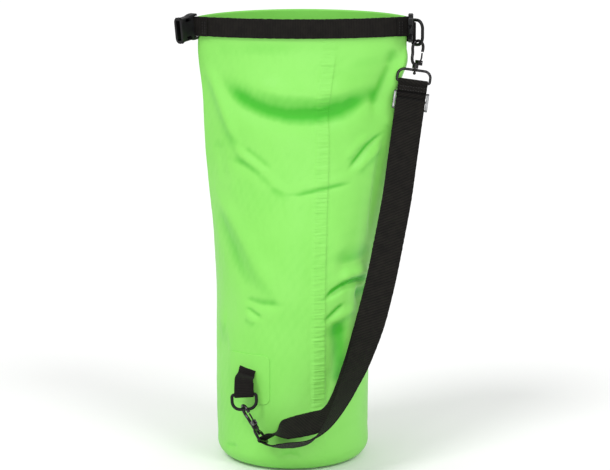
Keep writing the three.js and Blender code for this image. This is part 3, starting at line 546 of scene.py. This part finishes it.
# ---------------------------------------------------------------- the bag
def bag_columns():
    """Places round the wall: close together at the seam, and wider apart at the back."""
    columns = []
    arc = -GIRTH / 2
    while arc < GIRTH / 2 - 1.2:
        columns.append(arc)
        if SEAM_FROM - 8 < arc < SEAM_TO + 6:
            arc += 1.25
        elif abs(arc) < FRONT_HALF + 20:
            arc += 2.6
        else:
            arc += 4.2
    columns = [a for a in columns if abs(abs(a) - FRONT_HALF) > 1.3 and abs(a - SEAM_TO) > 0.6]
    return np.array(sorted(columns + [-FRONT_HALF, FRONT_HALF, SEAM_TO, SEAM_TO + SEAM_EDGE]))


def bag_shell():
    """One closed skin: up the outside, over the rim and down the inside."""
    arcs = bag_columns()
    thick = 0.45
    turn = BAG_RADIUS - BASE_EDGE_RADIUS
    bottom = BASE_DISC + GAP + 0.05
    outside = [(turn - 12 + i * 2, bottom) for i in range(6)]
    for i in range(13):
        angle = math.pi / 2 * (i / 12 - 1)
        outside.append((turn + BASE_EDGE_RADIUS * math.cos(angle),
                        bottom + BASE_EDGE_RADIUS + BASE_EDGE_RADIUS * math.sin(angle)))
    z = outside[-1][1] + 2.1
    while z < BAG_HEIGHT - 1.5:
        outside.append((BAG_RADIUS, z))
        z += 1.4
    outside.append((BAG_RADIUS, BAG_HEIGHT - 0.25))
    profile = np.array(outside)
    slope = np.gradient(profile, axis=0)
    slope /= np.linalg.norm(slope, axis=1)[:, None]
    normal = np.stack([slope[:, 1], -slope[:, 0]], 1)
    rows = []
    for side, order in ((1, range(len(profile))), (-1, range(len(profile) - 1, -1, -1))):
        for k in order:
            radius, z = profile[k] + normal[k] * thick * side
            centre_z = profile[k][1]
            folds = relief(arcs, np.full(arcs.shape, centre_z))
            if centre_z < BASE_EDGE_RADIUS:
                folds = folds * max(0.0, centre_z / BASE_EDGE_RADIUS) ** 0.5
            lap = pucker(arcs, np.full(arcs.shape, centre_z))
            lap = lap if side > 0 else lap * 0.25
            rows.append(wall_point(arcs, z, radius - BAG_RADIUS + folds + lap))
    rows = np.array(rows)
    count = len(arcs)
    faces = grid_faces(len(rows), count, close_columns=True, close_rows=True)
    grid_z = profile[:, 1][:, None] + 0 * arcs[None, :]
    grid_arc = arcs[None, :] + 0 * grid_z
    # painted shade: the green is deepened where the wall's folds lean to face down, are concave or sunk,
    # in place of the shade they get; less of it near the base
    lean = (relief(grid_arc, grid_z + 1.5) - relief(grid_arc, grid_z - 1.5)) / 3
    sunk = relief(grid_arc, grid_z + 7) + relief(grid_arc, grid_z - 7) - 2 * relief(grid_arc, grid_z)
    hollow = smooth(-relief(grid_arc, grid_z), 1.0, 7.0)
    painted_fold_shade = np.clip(lean * 1.3 + sunk * 0.05 + hollow * 0.75, 0, 0.9)
    painted_fold_shade = painted_fold_shade * (0.35 + 0.65 * smooth(grid_z, 28, 70))
    shell = mesh_object("bag_shell", rows.reshape(-1, 3), faces)
    heights = [height - max(0, turn - radius) for radius, height in profile]
    flat = [(a, h) for h in heights + heights[::-1] for a in arcs]
    set_flat(shell, flat, np.concatenate([painted_fold_shade.ravel(), painted_fold_shade[::-1].ravel()]), GIRTH)
    return shell


PANEL_MIDDLE = 66.0
PANEL_WELD, WELD_WIDTH, WELD_DEPTH = 70.0, 2.5, 0.12
PANEL_DISH = 0.35


def base_panel():
    """The round welded panel under the wall's turned-in flange, faintly dished inside its weld."""
    radii = [12, 24, 36, 48, 58, 64, 66, 68, 72, 75, 77, 77.9]
    count = 96
    tops, lows = [], []
    for radius in radii:
        weld = WELD_DEPTH * math.exp(-(((radius - PANEL_WELD) / WELD_WIDTH) ** 2))
        dish = PANEL_DISH * (1 - (radius / PANEL_MIDDLE) ** 2) if radius < PANEL_MIDDLE else 0.0
        for i in range(count):
            angle = 2 * math.pi * i / count
            x, y = radius * math.cos(angle), radius * math.sin(angle)
            wave = 0.06 * math.sin(3 * angle + radius / 17) if radius < 60 else 0.0
            tops.append((x, y, BASE_DISC - weld))
            lows.append((x, y, max(0.02, dish + wave + 0.04)))
    top_faces = grid_faces(len(radii), count, close_columns=True)
    low = len(tops)
    low_faces = [tuple(low + v for v in reversed(face)) for face in top_faces]
    rim = low - count
    middle_top, middle_low = 2 * low, 2 * low + 1
    edge, caps = [], []
    for i in range(count):
        after = (i + 1) % count
        edge.append((rim + i, rim + after, low + rim + after, low + rim + i))
        caps.append((middle_top, i, after))
        caps.append((middle_low, low + after, low + i))
    vertices = tops + lows + [(0, 0, BASE_DISC), (0, 0, PANEL_DISH + 0.04)]
    panel = mesh_object("base_panel", vertices, top_faces + low_faces + edge + caps)
    fix_normals(panel)
    set_flat(panel, [v[:2] for v in vertices])
    return panel


def fix_normals(obj):
    work = bmesh.new()
    work.from_mesh(obj.data)
    bmesh.ops.recalc_face_normals(work, faces=work.faces)
    work.to_mesh(obj.data)
    work.free()



# ---------------------------------------------------------------- webbing
def unit(v):
    v = np.asarray(v, float)
    return v / np.linalg.norm(v)


def ribbon(name, points, across, width, thickness=1.4, cells=12, wobble=0.0, seed=1, shaded=None):
    """Webbing along a line of points: across gives the direction over its width at each."""
    points = np.asarray(points, float)
    across = np.array([unit(a) for a in across])
    for i in range(1, len(across)):
        if across[i] @ across[i - 1] < 0:
            across[i] = -across[i]
    tangent = np.gradient(points, axis=0)
    tangent /= np.linalg.norm(tangent, axis=1)[:, None]
    face = np.cross(across, tangent)
    face /= np.linalg.norm(face, axis=1)[:, None]
    step = np.linalg.norm(np.diff(points, axis=0), axis=1)
    along = np.concatenate([[0], np.cumsum(step)])
    half, round_edge = width / 2, thickness / 2
    cell = (width - thickness) / cells
    face_line = [(round_edge - half + j * cell, round_edge) for j in range(cells + 1)]
    inset = half - round_edge * 0.3
    upper = face_line + [(inset, round_edge * 0.7), (half, 0), (inset, -round_edge * 0.7)]
    section = np.array(upper + [(-x, -y) for x, y in upper])
    count = len(section)
    sides = section[:, 0][None, :] * np.ones(len(points))[:, None]
    outs = section[:, 1][None, :] * np.ones(len(points))[:, None]
    if wobble:
        wave = ripple(along[:, None] / 46, sides / 70, seed) * wobble
        ends = smooth(along, 8, 30) * (1 - smooth(along, along[-1] - 30, along[-1] - 8))
        outs = outs + wave * ends[:, None]
        edge = 0.12 * ripple(along[:, None] / 9, sides * 0, seed + 1)
        sides = sides + edge * np.sign(sides) * ends[:, None]
    vertices = points[:, None, :] + across[:, None, :] * sides[..., None]
    vertices = vertices + face[:, None, :] * outs[..., None]
    faces = grid_faces(len(points), count, close_columns=True)
    last = (len(points) - 1) * count
    faces.append(tuple(reversed(range(count))))
    faces.append(tuple(range(last, last + count)))
    made = mesh_object(name, vertices.reshape(-1, 3), faces)
    fix_normals(made)
    lengths = along[:, None] + 0 * sides
    across_flat = section[:, 0][None, :] + 0 * sides
    # painted shadow from the shaded function, if given, is stored in the flat position's third part
    shade = shaded(vertices.reshape(-1, 3)) if shaded else 0.0
    set_flat(made, np.stack([across_flat.ravel(), lengths.ravel()], 1), shade)
    return made


def refine(points, across, spacing=2.2):
    """Fills in a line of points with a smooth curve, and its directions with it."""
    points = np.asarray(points, float)
    across = np.array([unit(a) for a in across])
    for i in range(1, len(across)):
        if across[i] @ across[i - 1] < 0:
            across[i] = -across[i]
    fine_points, fine_across = [], []
    for i in range(len(points) - 1):
        before, after = points[max(i - 1, 0)], points[min(i + 2, len(points) - 1)]
        a, b = points[i], points[i + 1]
        length = np.linalg.norm(b - a)
        first = (b - before) / max(np.linalg.norm(b - before), 1e-9) * length
        second = (after - a) / max(np.linalg.norm(after - a), 1e-9) * length
        if i == 0:
            first = b - a
        if i == len(points) - 2:
            second = b - a
        steps = max(1, int(round(length / spacing)))
        for k in range(steps):
            t = k / steps
            t2, t3 = t * t, t * t * t
            place = (2 * t3 - 3 * t2 + 1) * a + (t3 - 2 * t2 + t) * first
            place = place + (-2 * t3 + 3 * t2) * b + (t3 - t2) * second
            fine_points.append(place)
            fine_across.append(unit(across[i] * (1 - t) + across[i + 1] * t))
    fine_points.append(points[-1])
    fine_across.append(across[-1])
    return fine_points, fine_across


WEB = 1.4
CLOSURE_WIDTH = 25.0
STRAP_WIDTH = 38.0
BAND_HEIGHT = BAG_HEIGHT - CLOSURE_WIDTH / 2
BUCKLE_BAR = 1.6
LOOP_RADIUS = BUCKLE_BAR + GAP + WEB / 2
LOOP_REACH = 3.0
BAND_OFFSET = 0.5 + GAP + 1.0 + GAP + WEB / 2
UP = np.array([0, 0, 1.0])
# which way the webbing's width runs in the loop at each end, where the buckle half hangs
LEANS = {-1: unit((-0.083, -0.1, 1)), 1: unit((0, -0.16, 0.985))}


def band_place(side, a, b):
    """A point near one end of the band, a along it past the mouth's corner and b out from it."""
    out = np.array([side * math.sin(FRONT_ANGLE), -math.cos(FRONT_ANGLE), 0])
    on = np.array([side * math.cos(FRONT_ANGLE), math.sin(FRONT_ANGLE), 0])
    point, _ = mouth_frame(side * 0.999)
    point = point + out * BAND_OFFSET + on * a + out * b
    point[2] = BAND_HEIGHT
    return point


def band_loop(side):
    """The band's end, turned round the buckle half's bar and back over itself."""
    lap = WEB + GAP
    places = [(-16, lap + 0.1, UP), (LOOP_REACH - 9.5, lap, UP)]
    for i in range(15):
        angle = (math.pi + 0.5) * (1 - i / 14) + 0.12 * i / 14
        reach, out = LOOP_RADIUS * math.sin(angle), LOOP_RADIUS * (1 - math.cos(angle))
        places.append((LOOP_REACH + reach, out, LEANS[side]))
    return [band_place(side, a, b) for a, b, _ in places], [w for _, _, w in places]


def closure_webbing():
    """The webbing along the front of the mouth, with a loop at each end."""
    left_points, left_across = band_loop(-1)
    right_points, right_across = band_loop(1)
    middle = []
    for i in range(45):
        point, _ = mouth_frame(-0.985 + 1.97 * i / 44, BAND_OFFSET)
        point[2] = BAND_HEIGHT
        middle.append(point)
    points = left_points + middle + right_points[::-1]
    across = left_across + [UP] * len(middle) + right_across[::-1]
    points, across = refine(points, across, 1.6)
    return ribbon("closure_webbing_woven", points, across, CLOSURE_WIDTH, cells=8, wobble=0.08, seed=3)


UPPER_BAR = np.array([154.5, -11, 563.0])
TAB_LOOP = 2.35 + GAP + WEB / 2
UPPER_BOW = np.array([math.cos(-0.908), math.sin(-0.908), 0])
STRAP_DOWN = unit((-0.136, -0.145, -0.98))
STRAP_ACROSS = unit(np.array([1, 0, 0]) - STRAP_DOWN * STRAP_DOWN[0])
STRAP_FRONT = np.cross(STRAP_DOWN, STRAP_ACROSS)
D_RING_HALF, D_RING_DEPTH, D_RING_SECTION = 15.75, 19.0, 4.0
STRAP_RING_RISE, STRAP_RING_SECTION = 15.5, 3.4
HOOK_TOP, HOOK_BAR = 37.9, 2.0
HOOK_SEAT = HOOK_TOP - HOOK_BAR - 1.4 - D_RING_SECTION / 2
UPPER_RING = UPPER_BAR + UPPER_BOW * 11 - UP * D_RING_HALF + STRAP_DOWN * (HOOK_SEAT + STRAP_RING_RISE)
RING_WRAP = STRAP_RING_SECTION / 2 + GAP + 0.1 + WEB / 2
LAP = WEB + GAP
RUNNING_OUT = -RING_WRAP
TAIL_OUT = RUNNING_OUT + LAP
SLIDER_BAR = 1.2
SLIDER_WRAP = SLIDER_BAR + GAP + WEB / 2
SLIDER_AT = 24.4
SLIDER_BAR_OUT = TAIL_OUT + SLIDER_WRAP


def upper_tab():
    """The short loop that holds the upper D-ring at the end of the mouth."""
    radius = TAB_LOOP
    half = (WEB + GAP) / 2
    places = [(-9, half), (-5.5, half)]
    for i in range(17):
        angle = 2.45 - 4.9 * i / 16
        places.append((radius * math.cos(angle), radius * math.sin(angle)))
    places += [(-5.5, -half), (-9, -half)]
    points = [UPPER_BAR + np.array([x, y, 0]) for x, y in places]
    points, across = refine(points, [UP] * len(points), 1.0)
    return ribbon("upper_tab_woven", points, across, CLOSURE_WIDTH, cells=8)


LOWER_BAR = np.array([-62.5, -97, 105.0])
LOWER_BOW = unit((0.05, -0.3, -0.95))
LOWER_BAR_WAY = np.array([1, -0.1, -0.02])
LOWER_BAR_WAY = unit(LOWER_BAR_WAY - LOWER_BOW * (LOWER_BAR_WAY @ LOWER_BOW))
LOWER_HOOK_DOWN = unit((0.505, -0.4, -0.76))
LOWER_RING = LOWER_BAR + LOWER_BOW * D_RING_DEPTH + LOWER_HOOK_DOWN * (HOOK_SEAT + STRAP_RING_RISE)
LOWER_ACROSS = unit(np.array([0, 1, 0]) - LOWER_HOOK_DOWN * LOWER_HOOK_DOWN[1])
TAB_ANGLE, TAB_HEIGHT, TAB_SLOPE = -0.605, 136.0, -0.19


def lower_tab():
    """The tab that comes out of the patch, turns round the lower D-ring's bar and goes up behind."""
    radius = TAB_LOOP
    front = unit(np.cross(LOWER_BOW, LOWER_BAR_WAY))
    radial = np.array([math.sin(TAB_ANGLE), -math.cos(TAB_ANGLE), 0])
    start = radial * (BAG_RADIUS + 1.1) + UP * TAB_HEIGHT
    slope = unit((math.cos(TAB_ANGLE), math.sin(TAB_ANGLE), TAB_SLOPE))
    hang = LOWER_BAR + front * radius
    up = unit((0.02, 0.16, 1))
    stations = [
        (start, 0.0), (start + radial * 1.5 - UP * 0.9, 0.0), (start + radial * 2.6 - UP * 3.4, 0.03),
        (start + radial * 4.0 - UP * 7.5, 0.12), (hang + up * 20, 0.5), (hang + up * 13, 0.8),
        (hang + up * 6, 1.0),
    ]
    for i in range(15):
        angle = math.pi * 1.12 * i / 14
        turned = front * radius * math.cos(angle) + LOWER_BOW * radius * math.sin(angle)
        stations.append((LOWER_BAR + turned, 1.0))
    behind = unit(np.cross(LOWER_BAR_WAY, up))
    if behind @ front > 0:
        behind = -behind
    stations += [(hang + up * rise + behind * (LAP + 0.5), 1.0) for rise in (7.5, 14)]
    across = [unit(slope * (1 - share) + LOWER_BAR_WAY * share) for _, share in stations]
    points, across = refine([p for p, _ in stations], across, 1.0)
    return ribbon("lower_tab_woven", points, across, CLOSURE_WIDTH, cells=8, wobble=0.0)


# ---------------------------------------------------------------- the shoulder strap
RUNNING_ROUTE = [
    (124.5, -55, 301, 0), (114, -64.5, 250, 0), (101, -76, 200, 6), (93, -83.5, 175, 18),
    (83.5, -92.5, 150, 33), (72.5, -101, 127, 47), (62.2, -107.5, 106, 56), (53.5, -111.5, 90.5, 58),
    (44, -114.5, 80, 55), (32.5, -117, 74.8, 47), (19.5, -118, 71.3, 45), (5, -118.5, 68, 47),
    (-8, -119.5, 65, 52), (-19, -120.5, 61.5, 59), (-29.5, -121, 57.5, 72),
]
TAIL_ROUTE = [
    (124.5, -57.5, 301, 0), (114, -68, 250, 3), (101.3, -82, 200, 15), (93.5, -92, 175, 29),
    (84.8, -104, 150, 43), (74.5, -118, 127.5, 54), (64, -133, 107.5, 64), (53.7, -145, 91, 73),
    (42.5, -151.5, 77, 81), (30, -153, 64.8, 92), (16, -150, 56.8, 103), (3, -144.5, 52, 107),
    (-9, -139, 48.5, 106), (-19, -133.5, 46, 102), (-28.6, -127.5, 45.2, 98),
]
LOWER_SPLIT = 4.5
STRAIGHT_END = 150.0
VIEW_FRONT = np.array([0, -1, 0.2])


def strap_place(s, out):
    """A point on the strap's straight top, s below the upper strap ring and out from its middle."""
    return UPPER_RING + STRAP_DOWN * s + STRAP_FRONT * out


def lap_painted_shadow(points):
    """Painted shadow on the strap in the two steps under its ring, where the laps end."""
    s = (points - UPPER_RING) @ STRAP_DOWN
    return 0.9 * np.exp(-(((s - 13.8) / 1.5) ** 2)) + 0.9 * np.exp(-(((s - 21.6) / 1.7) ** 2))


def catmull(points, share):
    """A centripetal Catmull-Rom curve's point and direction."""
    points = np.asarray(points, float)
    last = len(points) - 1
    at = share * last
    k = min(int(at), last - 1)
    t = at - k
    p1, p2 = points[k], points[k + 1]
    p0 = points[k - 1] if k > 0 else 2 * points[0] - points[1]
    p3 = points[k + 2] if k + 2 <= last else 2 * points[last] - points[last - 1]
    d0, d1, d2 = (max(np.sum((b - a) ** 2) ** 0.25, 1e-4) for a, b in ((p0, p1), (p1, p2), (p2, p3)))
    t1 = ((p1 - p0) / d0 - (p2 - p0) / (d0 + d1) + (p2 - p1) / d1) * d1
    t2 = ((p2 - p1) / d1 - (p3 - p1) / (d1 + d2) + (p3 - p2) / d2) * d1
    c2, c3 = -3 * p1 + 3 * p2 - 2 * t1 - t2, 2 * p1 - 2 * p2 + t1 + t2
    return p1 + t1 * t + c2 * t * t + c3 * t ** 3, unit(t1 + 2 * c2 * t + 3 * c3 * t * t)


def strap_run(out, start, route, steps):
    """A layer of the strap from its straight top, along its route, to the lower strap ring."""
    straight = [(*strap_place(s, out), 0) for s in (start, (start + STRAIGHT_END) / 2, STRAIGHT_END)]
    line = straight + list(route)
    points, across = [], []
    for i in range(steps + 1):
        share = i / steps
        at = share * (len(line) - 1)
        k = min(int(at), len(line) - 2)
        turn = math.radians(line[k][3] + (line[k + 1][3] - line[k][3]) * (at - k))
        point, tangent = catmull([p[:3] for p in line], share)
        facing = unit(VIEW_FRONT - tangent * (VIEW_FRONT @ tangent))
        face = facing * math.cos(turn) + np.cross(tangent, facing) * math.sin(turn)
        over = np.cross(tangent, face)
        ring_way = LOWER_ACROSS * np.sign(over @ LOWER_ACROSS)
        amount = float(smooth(share, 0.88, 1.0))
        points.append(point)
        across.append(unit(over * (1 - amount) + ring_way * amount))
    return points, across


def lower_wrap(angle):
    """A point round the lower strap ring's bar."""
    right = unit(np.array([1, 0, 0]) - LOWER_ACROSS * LOWER_ACROSS[0])
    upward = np.cross(right, LOWER_ACROSS)
    return LOWER_RING + right * RING_WRAP * math.cos(angle) + upward * RING_WRAP * math.sin(angle)


def running_web():
    """The layer that is sewn round the upper ring and runs down to the lower ring."""
    top = [strap_place(12.5, TAIL_OUT), strap_place(6, TAIL_OUT), strap_place(2.6, 1.5)]
    for i in range(15):
        angle = -0.55 + (math.pi + 0.55) * i / 14
        top.append(strap_place(-RING_WRAP * math.sin(angle), RING_WRAP * math.cos(angle)))
    run_points, run_across = strap_run(RUNNING_OUT, 16, RUNNING_ROUTE, 150)
    wrap = [lower_wrap(2.2 + (LOWER_SPLIT - 2.2) * i / 12) for i in range(13)]
    points = top + run_points + wrap
    across = [STRAP_ACROSS] * len(top) + run_across + [LOWER_ACROSS] * len(wrap)
    points, across = refine(points, across, 2.0)
    return ribbon("strap_running_webbing", points, across, STRAP_WIDTH,
                  cells=14, wobble=0.1, seed=5, shaded=lap_painted_shadow)


def tail_web():
    """The layer that comes back up from the lower ring to the slider, and turns round its bar."""
    top = [strap_place(SLIDER_AT + 16, TAIL_OUT), strap_place(SLIDER_AT + 8, TAIL_OUT)]
    for i in range(15):
        angle = math.pi * i / 14
        top.append(strap_place(SLIDER_AT - SLIDER_WRAP * math.sin(angle),
                               SLIDER_BAR_OUT - SLIDER_WRAP * math.cos(angle)))
    top += [strap_place(SLIDER_AT + 9, TAIL_OUT + LAP), strap_place(SLIDER_AT + 18, TAIL_OUT + LAP)]
    run_points, run_across = strap_run(TAIL_OUT, SLIDER_AT + 28, TAIL_ROUTE, 140)
    end = [lower_wrap(LOWER_SPLIT + 0.4), lower_wrap(LOWER_SPLIT + 0.01)]
    points = top + run_points + end
    across = [STRAP_ACROSS] * len(top) + run_across + [LOWER_ACROSS] * len(end)
    points, across = refine(points, across, 2.0)
    return ribbon("strap_tail_webbing", points, across, STRAP_WIDTH,
                  cells=14, wobble=0.12, seed=8, shaded=lap_painted_shadow)


# ---------------------------------------------------------------- the anchor patch
PATCH_WIDTH, PATCH_HEIGHT = 62.0, 66.0


def anchor_patch():
    """A welded patch that follows the wall's folds, its edge pressed thin."""
    middle_arc = TAB_ANGLE * BAG_RADIUS
    middle_z = TAB_HEIGHT + 20 - PATCH_HEIGHT / 2
    half_w, half_h, corner = PATCH_WIDTH / 2, PATCH_HEIGHT / 2, 9.0
    outline = []
    for cx, cz, start in ((1, 1, 0), (-1, 1, 1), (-1, -1, 2), (1, -1, 3)):
        for i in range(9):
            angle = math.pi / 2 * (start + i / 8)
            outline.append((cx * (half_w - corner) + corner * math.cos(angle),
                            cz * (half_h - corner) + corner * math.sin(angle)))
    dense = []
    for (ax, az), (bx, bz) in zip(outline, outline[1:] + outline[:1]):
        steps = max(1, int(math.hypot(bx - ax, bz - az) / 2.5))
        dense += [(ax + (bx - ax) * k / steps, az + (bz - az) * k / steps) for k in range(steps)]
    dense = np.array(dense)
    count = len(dense)
    rings = [(1.0, 0.15), (0.995, 0.55), (0.985, 0.8), (0.96, 0.85), (0.92, 0.72), (0.86, 0.8)]
    rings += [(s, 0.8) for s in (0.76, 0.64, 0.52, 0.4, 0.28, 0.16)]
    vertices, flat = [], []
    for scale, height in rings:
        a, h = middle_arc + dense[:, 0] * scale, middle_z + dense[:, 1] * scale
        vertices.append(wall_point(a, h, 0.6 + height + relief(a, h)))
        flat.append(np.stack([a, h], 1))
    under_a, under_h = middle_arc + dense[:, 0], middle_z + dense[:, 1]
    vertices.append(wall_point(under_a, under_h, 0.5 + relief(under_a, under_h)))
    flat.append(np.stack([under_a, under_h], 1))
    vertices = np.concatenate(vertices)
    flat = np.concatenate(flat)
    faces = grid_faces(len(rings), count, close_columns=True)
    inner = (len(rings) - 1) * count
    under = len(rings) * count
    faces.append(tuple(range(inner, inner + count)))
    faces += [(under + i, under + (i + 1) % count, (i + 1) % count, i) for i in range(count)]
    faces.append(tuple(reversed(range(under, under + count))))
    made = mesh_object("anchor_patch_welded", vertices, faces)
    fix_normals(made)
    set_flat(made, flat)
    return made


# ---------------------------------------------------------------- stitching
def stitches(name, rows, pitch=3.4, length=2.5, wide=0.42, high=0.3):
    """Rows of thread: each row is a line of points with the way out of the cloth at each."""
    vertices, faces = [], []
    for line, outs in rows:
        line = np.asarray(line, float)
        run = np.concatenate([[0], np.cumsum(np.linalg.norm(np.diff(line, axis=0), axis=1))])
        for k in range(int(run[-1] / pitch)):
            centre = (k + 0.5) * pitch
            ends = [np.array([np.interp(s, run, line[:, c]) for c in range(3)])
                    for s in (centre - length / 2, centre + length / 2)]
            out = unit([np.interp(centre, run, np.asarray(outs, float)[:, c]) for c in range(3)])
            way = unit(ends[1] - ends[0])
            side = unit(np.cross(way, out))
            first = len(vertices)
            for share, size in ((0.0, 0.35), (0.18, 0.85), (0.5, 1.0), (0.82, 0.85), (1.0, 0.35)):
                base = ends[0] * (1 - share) + ends[1] * share
                for i in range(6):
                    turn = math.pi * i / 3
                    around = side * wide * math.cos(turn) + out * high * math.sin(turn)
                    vertices.append(base + around * size)
            for ring in range(4):
                for i in range(6):
                    a, b = first + ring * 6 + i, first + ring * 6 + (i + 1) % 6
                    faces.append((a, b, b + 6, a + 6))
            faces.append(tuple(range(first + 5, first - 1, -1)))
            faces.append(tuple(range(first + 24, first + 30)))
    made = mesh_object(name, vertices, faces)
    fix_normals(made)
    return made


def straight_row(start, end, out):
    return [start, end], [out, out]


def band_stitches():
    """Two rows across the band at each end, where the loop's end is sewn down."""
    rows = []
    for side in (-1, 1):
        for a in (-13.5, -9.5):
            low, high = band_place(side, a, WEB + GAP + 0.1 + WEB / 2 - 0.05), band_place(side, a, 0)
            out = unit(low - high)
            rows.append(straight_row(low - UP * 10, low + UP * 10, out))
    return stitches("band_stitching", rows)


def strap_stitches():
    """Two rows across the strap under its ring, through the turned-back end."""
    rows = []
    for s in (6.5, 11.0):
        middle = strap_place(s, TAIL_OUT + WEB / 2 - 0.05)
        rows.append(straight_row(middle - STRAP_ACROSS * 17, middle + STRAP_ACROSS * 17, STRAP_FRONT))
    return stitches("strap_stitching", rows)


# ---------------------------------------------------------------- building it
make_camera()
make_stage()

GREEN = (0.245, 0.67, 0.120)
GREEN_DEEP = (0.212, 0.63, 0.096)
# the dark saturated green painted into folds and hollows as shade
GREEN_PAINTED_SHADE = (0.035, 0.42, 0.012)
tarpaulin = tarpaulin_material("pvc_tarpaulin", GREEN, GREEN_DEEP, GREEN_PAINTED_SHADE)
strap_fabric = webbing_material("strap_twill", 0.0040, 0.6)
band_fabric = webbing_material("band_weave", 0.0021, 0.0)
plastic = hard_material("moulded_acetal", (0.006, 0.006, 0.0065), 0.4, 0.0)
gunmetal = hard_material("gunmetal_plate", (0.026, 0.025, 0.026), 0.26, 1.0)
nickel = hard_material("nickel_plate", (0.20, 0.20, 0.205), 0.28, 1.0)

finish_piece(bag_shell(), tarpaulin, "bag", "tarpaulin", "bag_wall")
finish_piece(base_panel(), tarpaulin, "bag", "tarpaulin", "base_disc")
finish_piece(anchor_patch(), tarpaulin, "bag", "tarpaulin", "anchor_patch")
finish_piece(closure_webbing(), band_fabric, "bag", "webbing", "closure_webbing")
finish_piece(upper_tab(), band_fabric, "bag", "webbing", "upper_tab")
finish_piece(lower_tab(), band_fabric, "bag", "webbing", "lower_tab")
finish_piece(running_web(), strap_fabric, "bag", "webbing", "strap_running_layer")
tail = finish_piece(tail_web(), strap_fabric, None, "webbing", "strap_tail_layer")
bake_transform(tail)

thread = simple_material("thread", (0.012, 0.011, 0.0105), 0.6)
finish_piece(band_stitches(), thread, "bag", "webbing")
finish_piece(strap_stitches(), thread, "bag", "webbing")

for name, cad in NODES.items():
    if cad.hide_render:
        continue
    if name == "slider" or name.endswith("gate_pin"):
        coat = nickel
    elif "hook" in name or "strap_ring" in name or "rivet" in name:
        coat = gunmetal
    else:
        coat = plastic
    cad.data.materials.clear()
    cad.data.materials.append(coat)
    cad.data.polygons.foreach_set("use_smooth", [True] * len(cad.data.polygons))
    crease_by_angle(cad, 32)
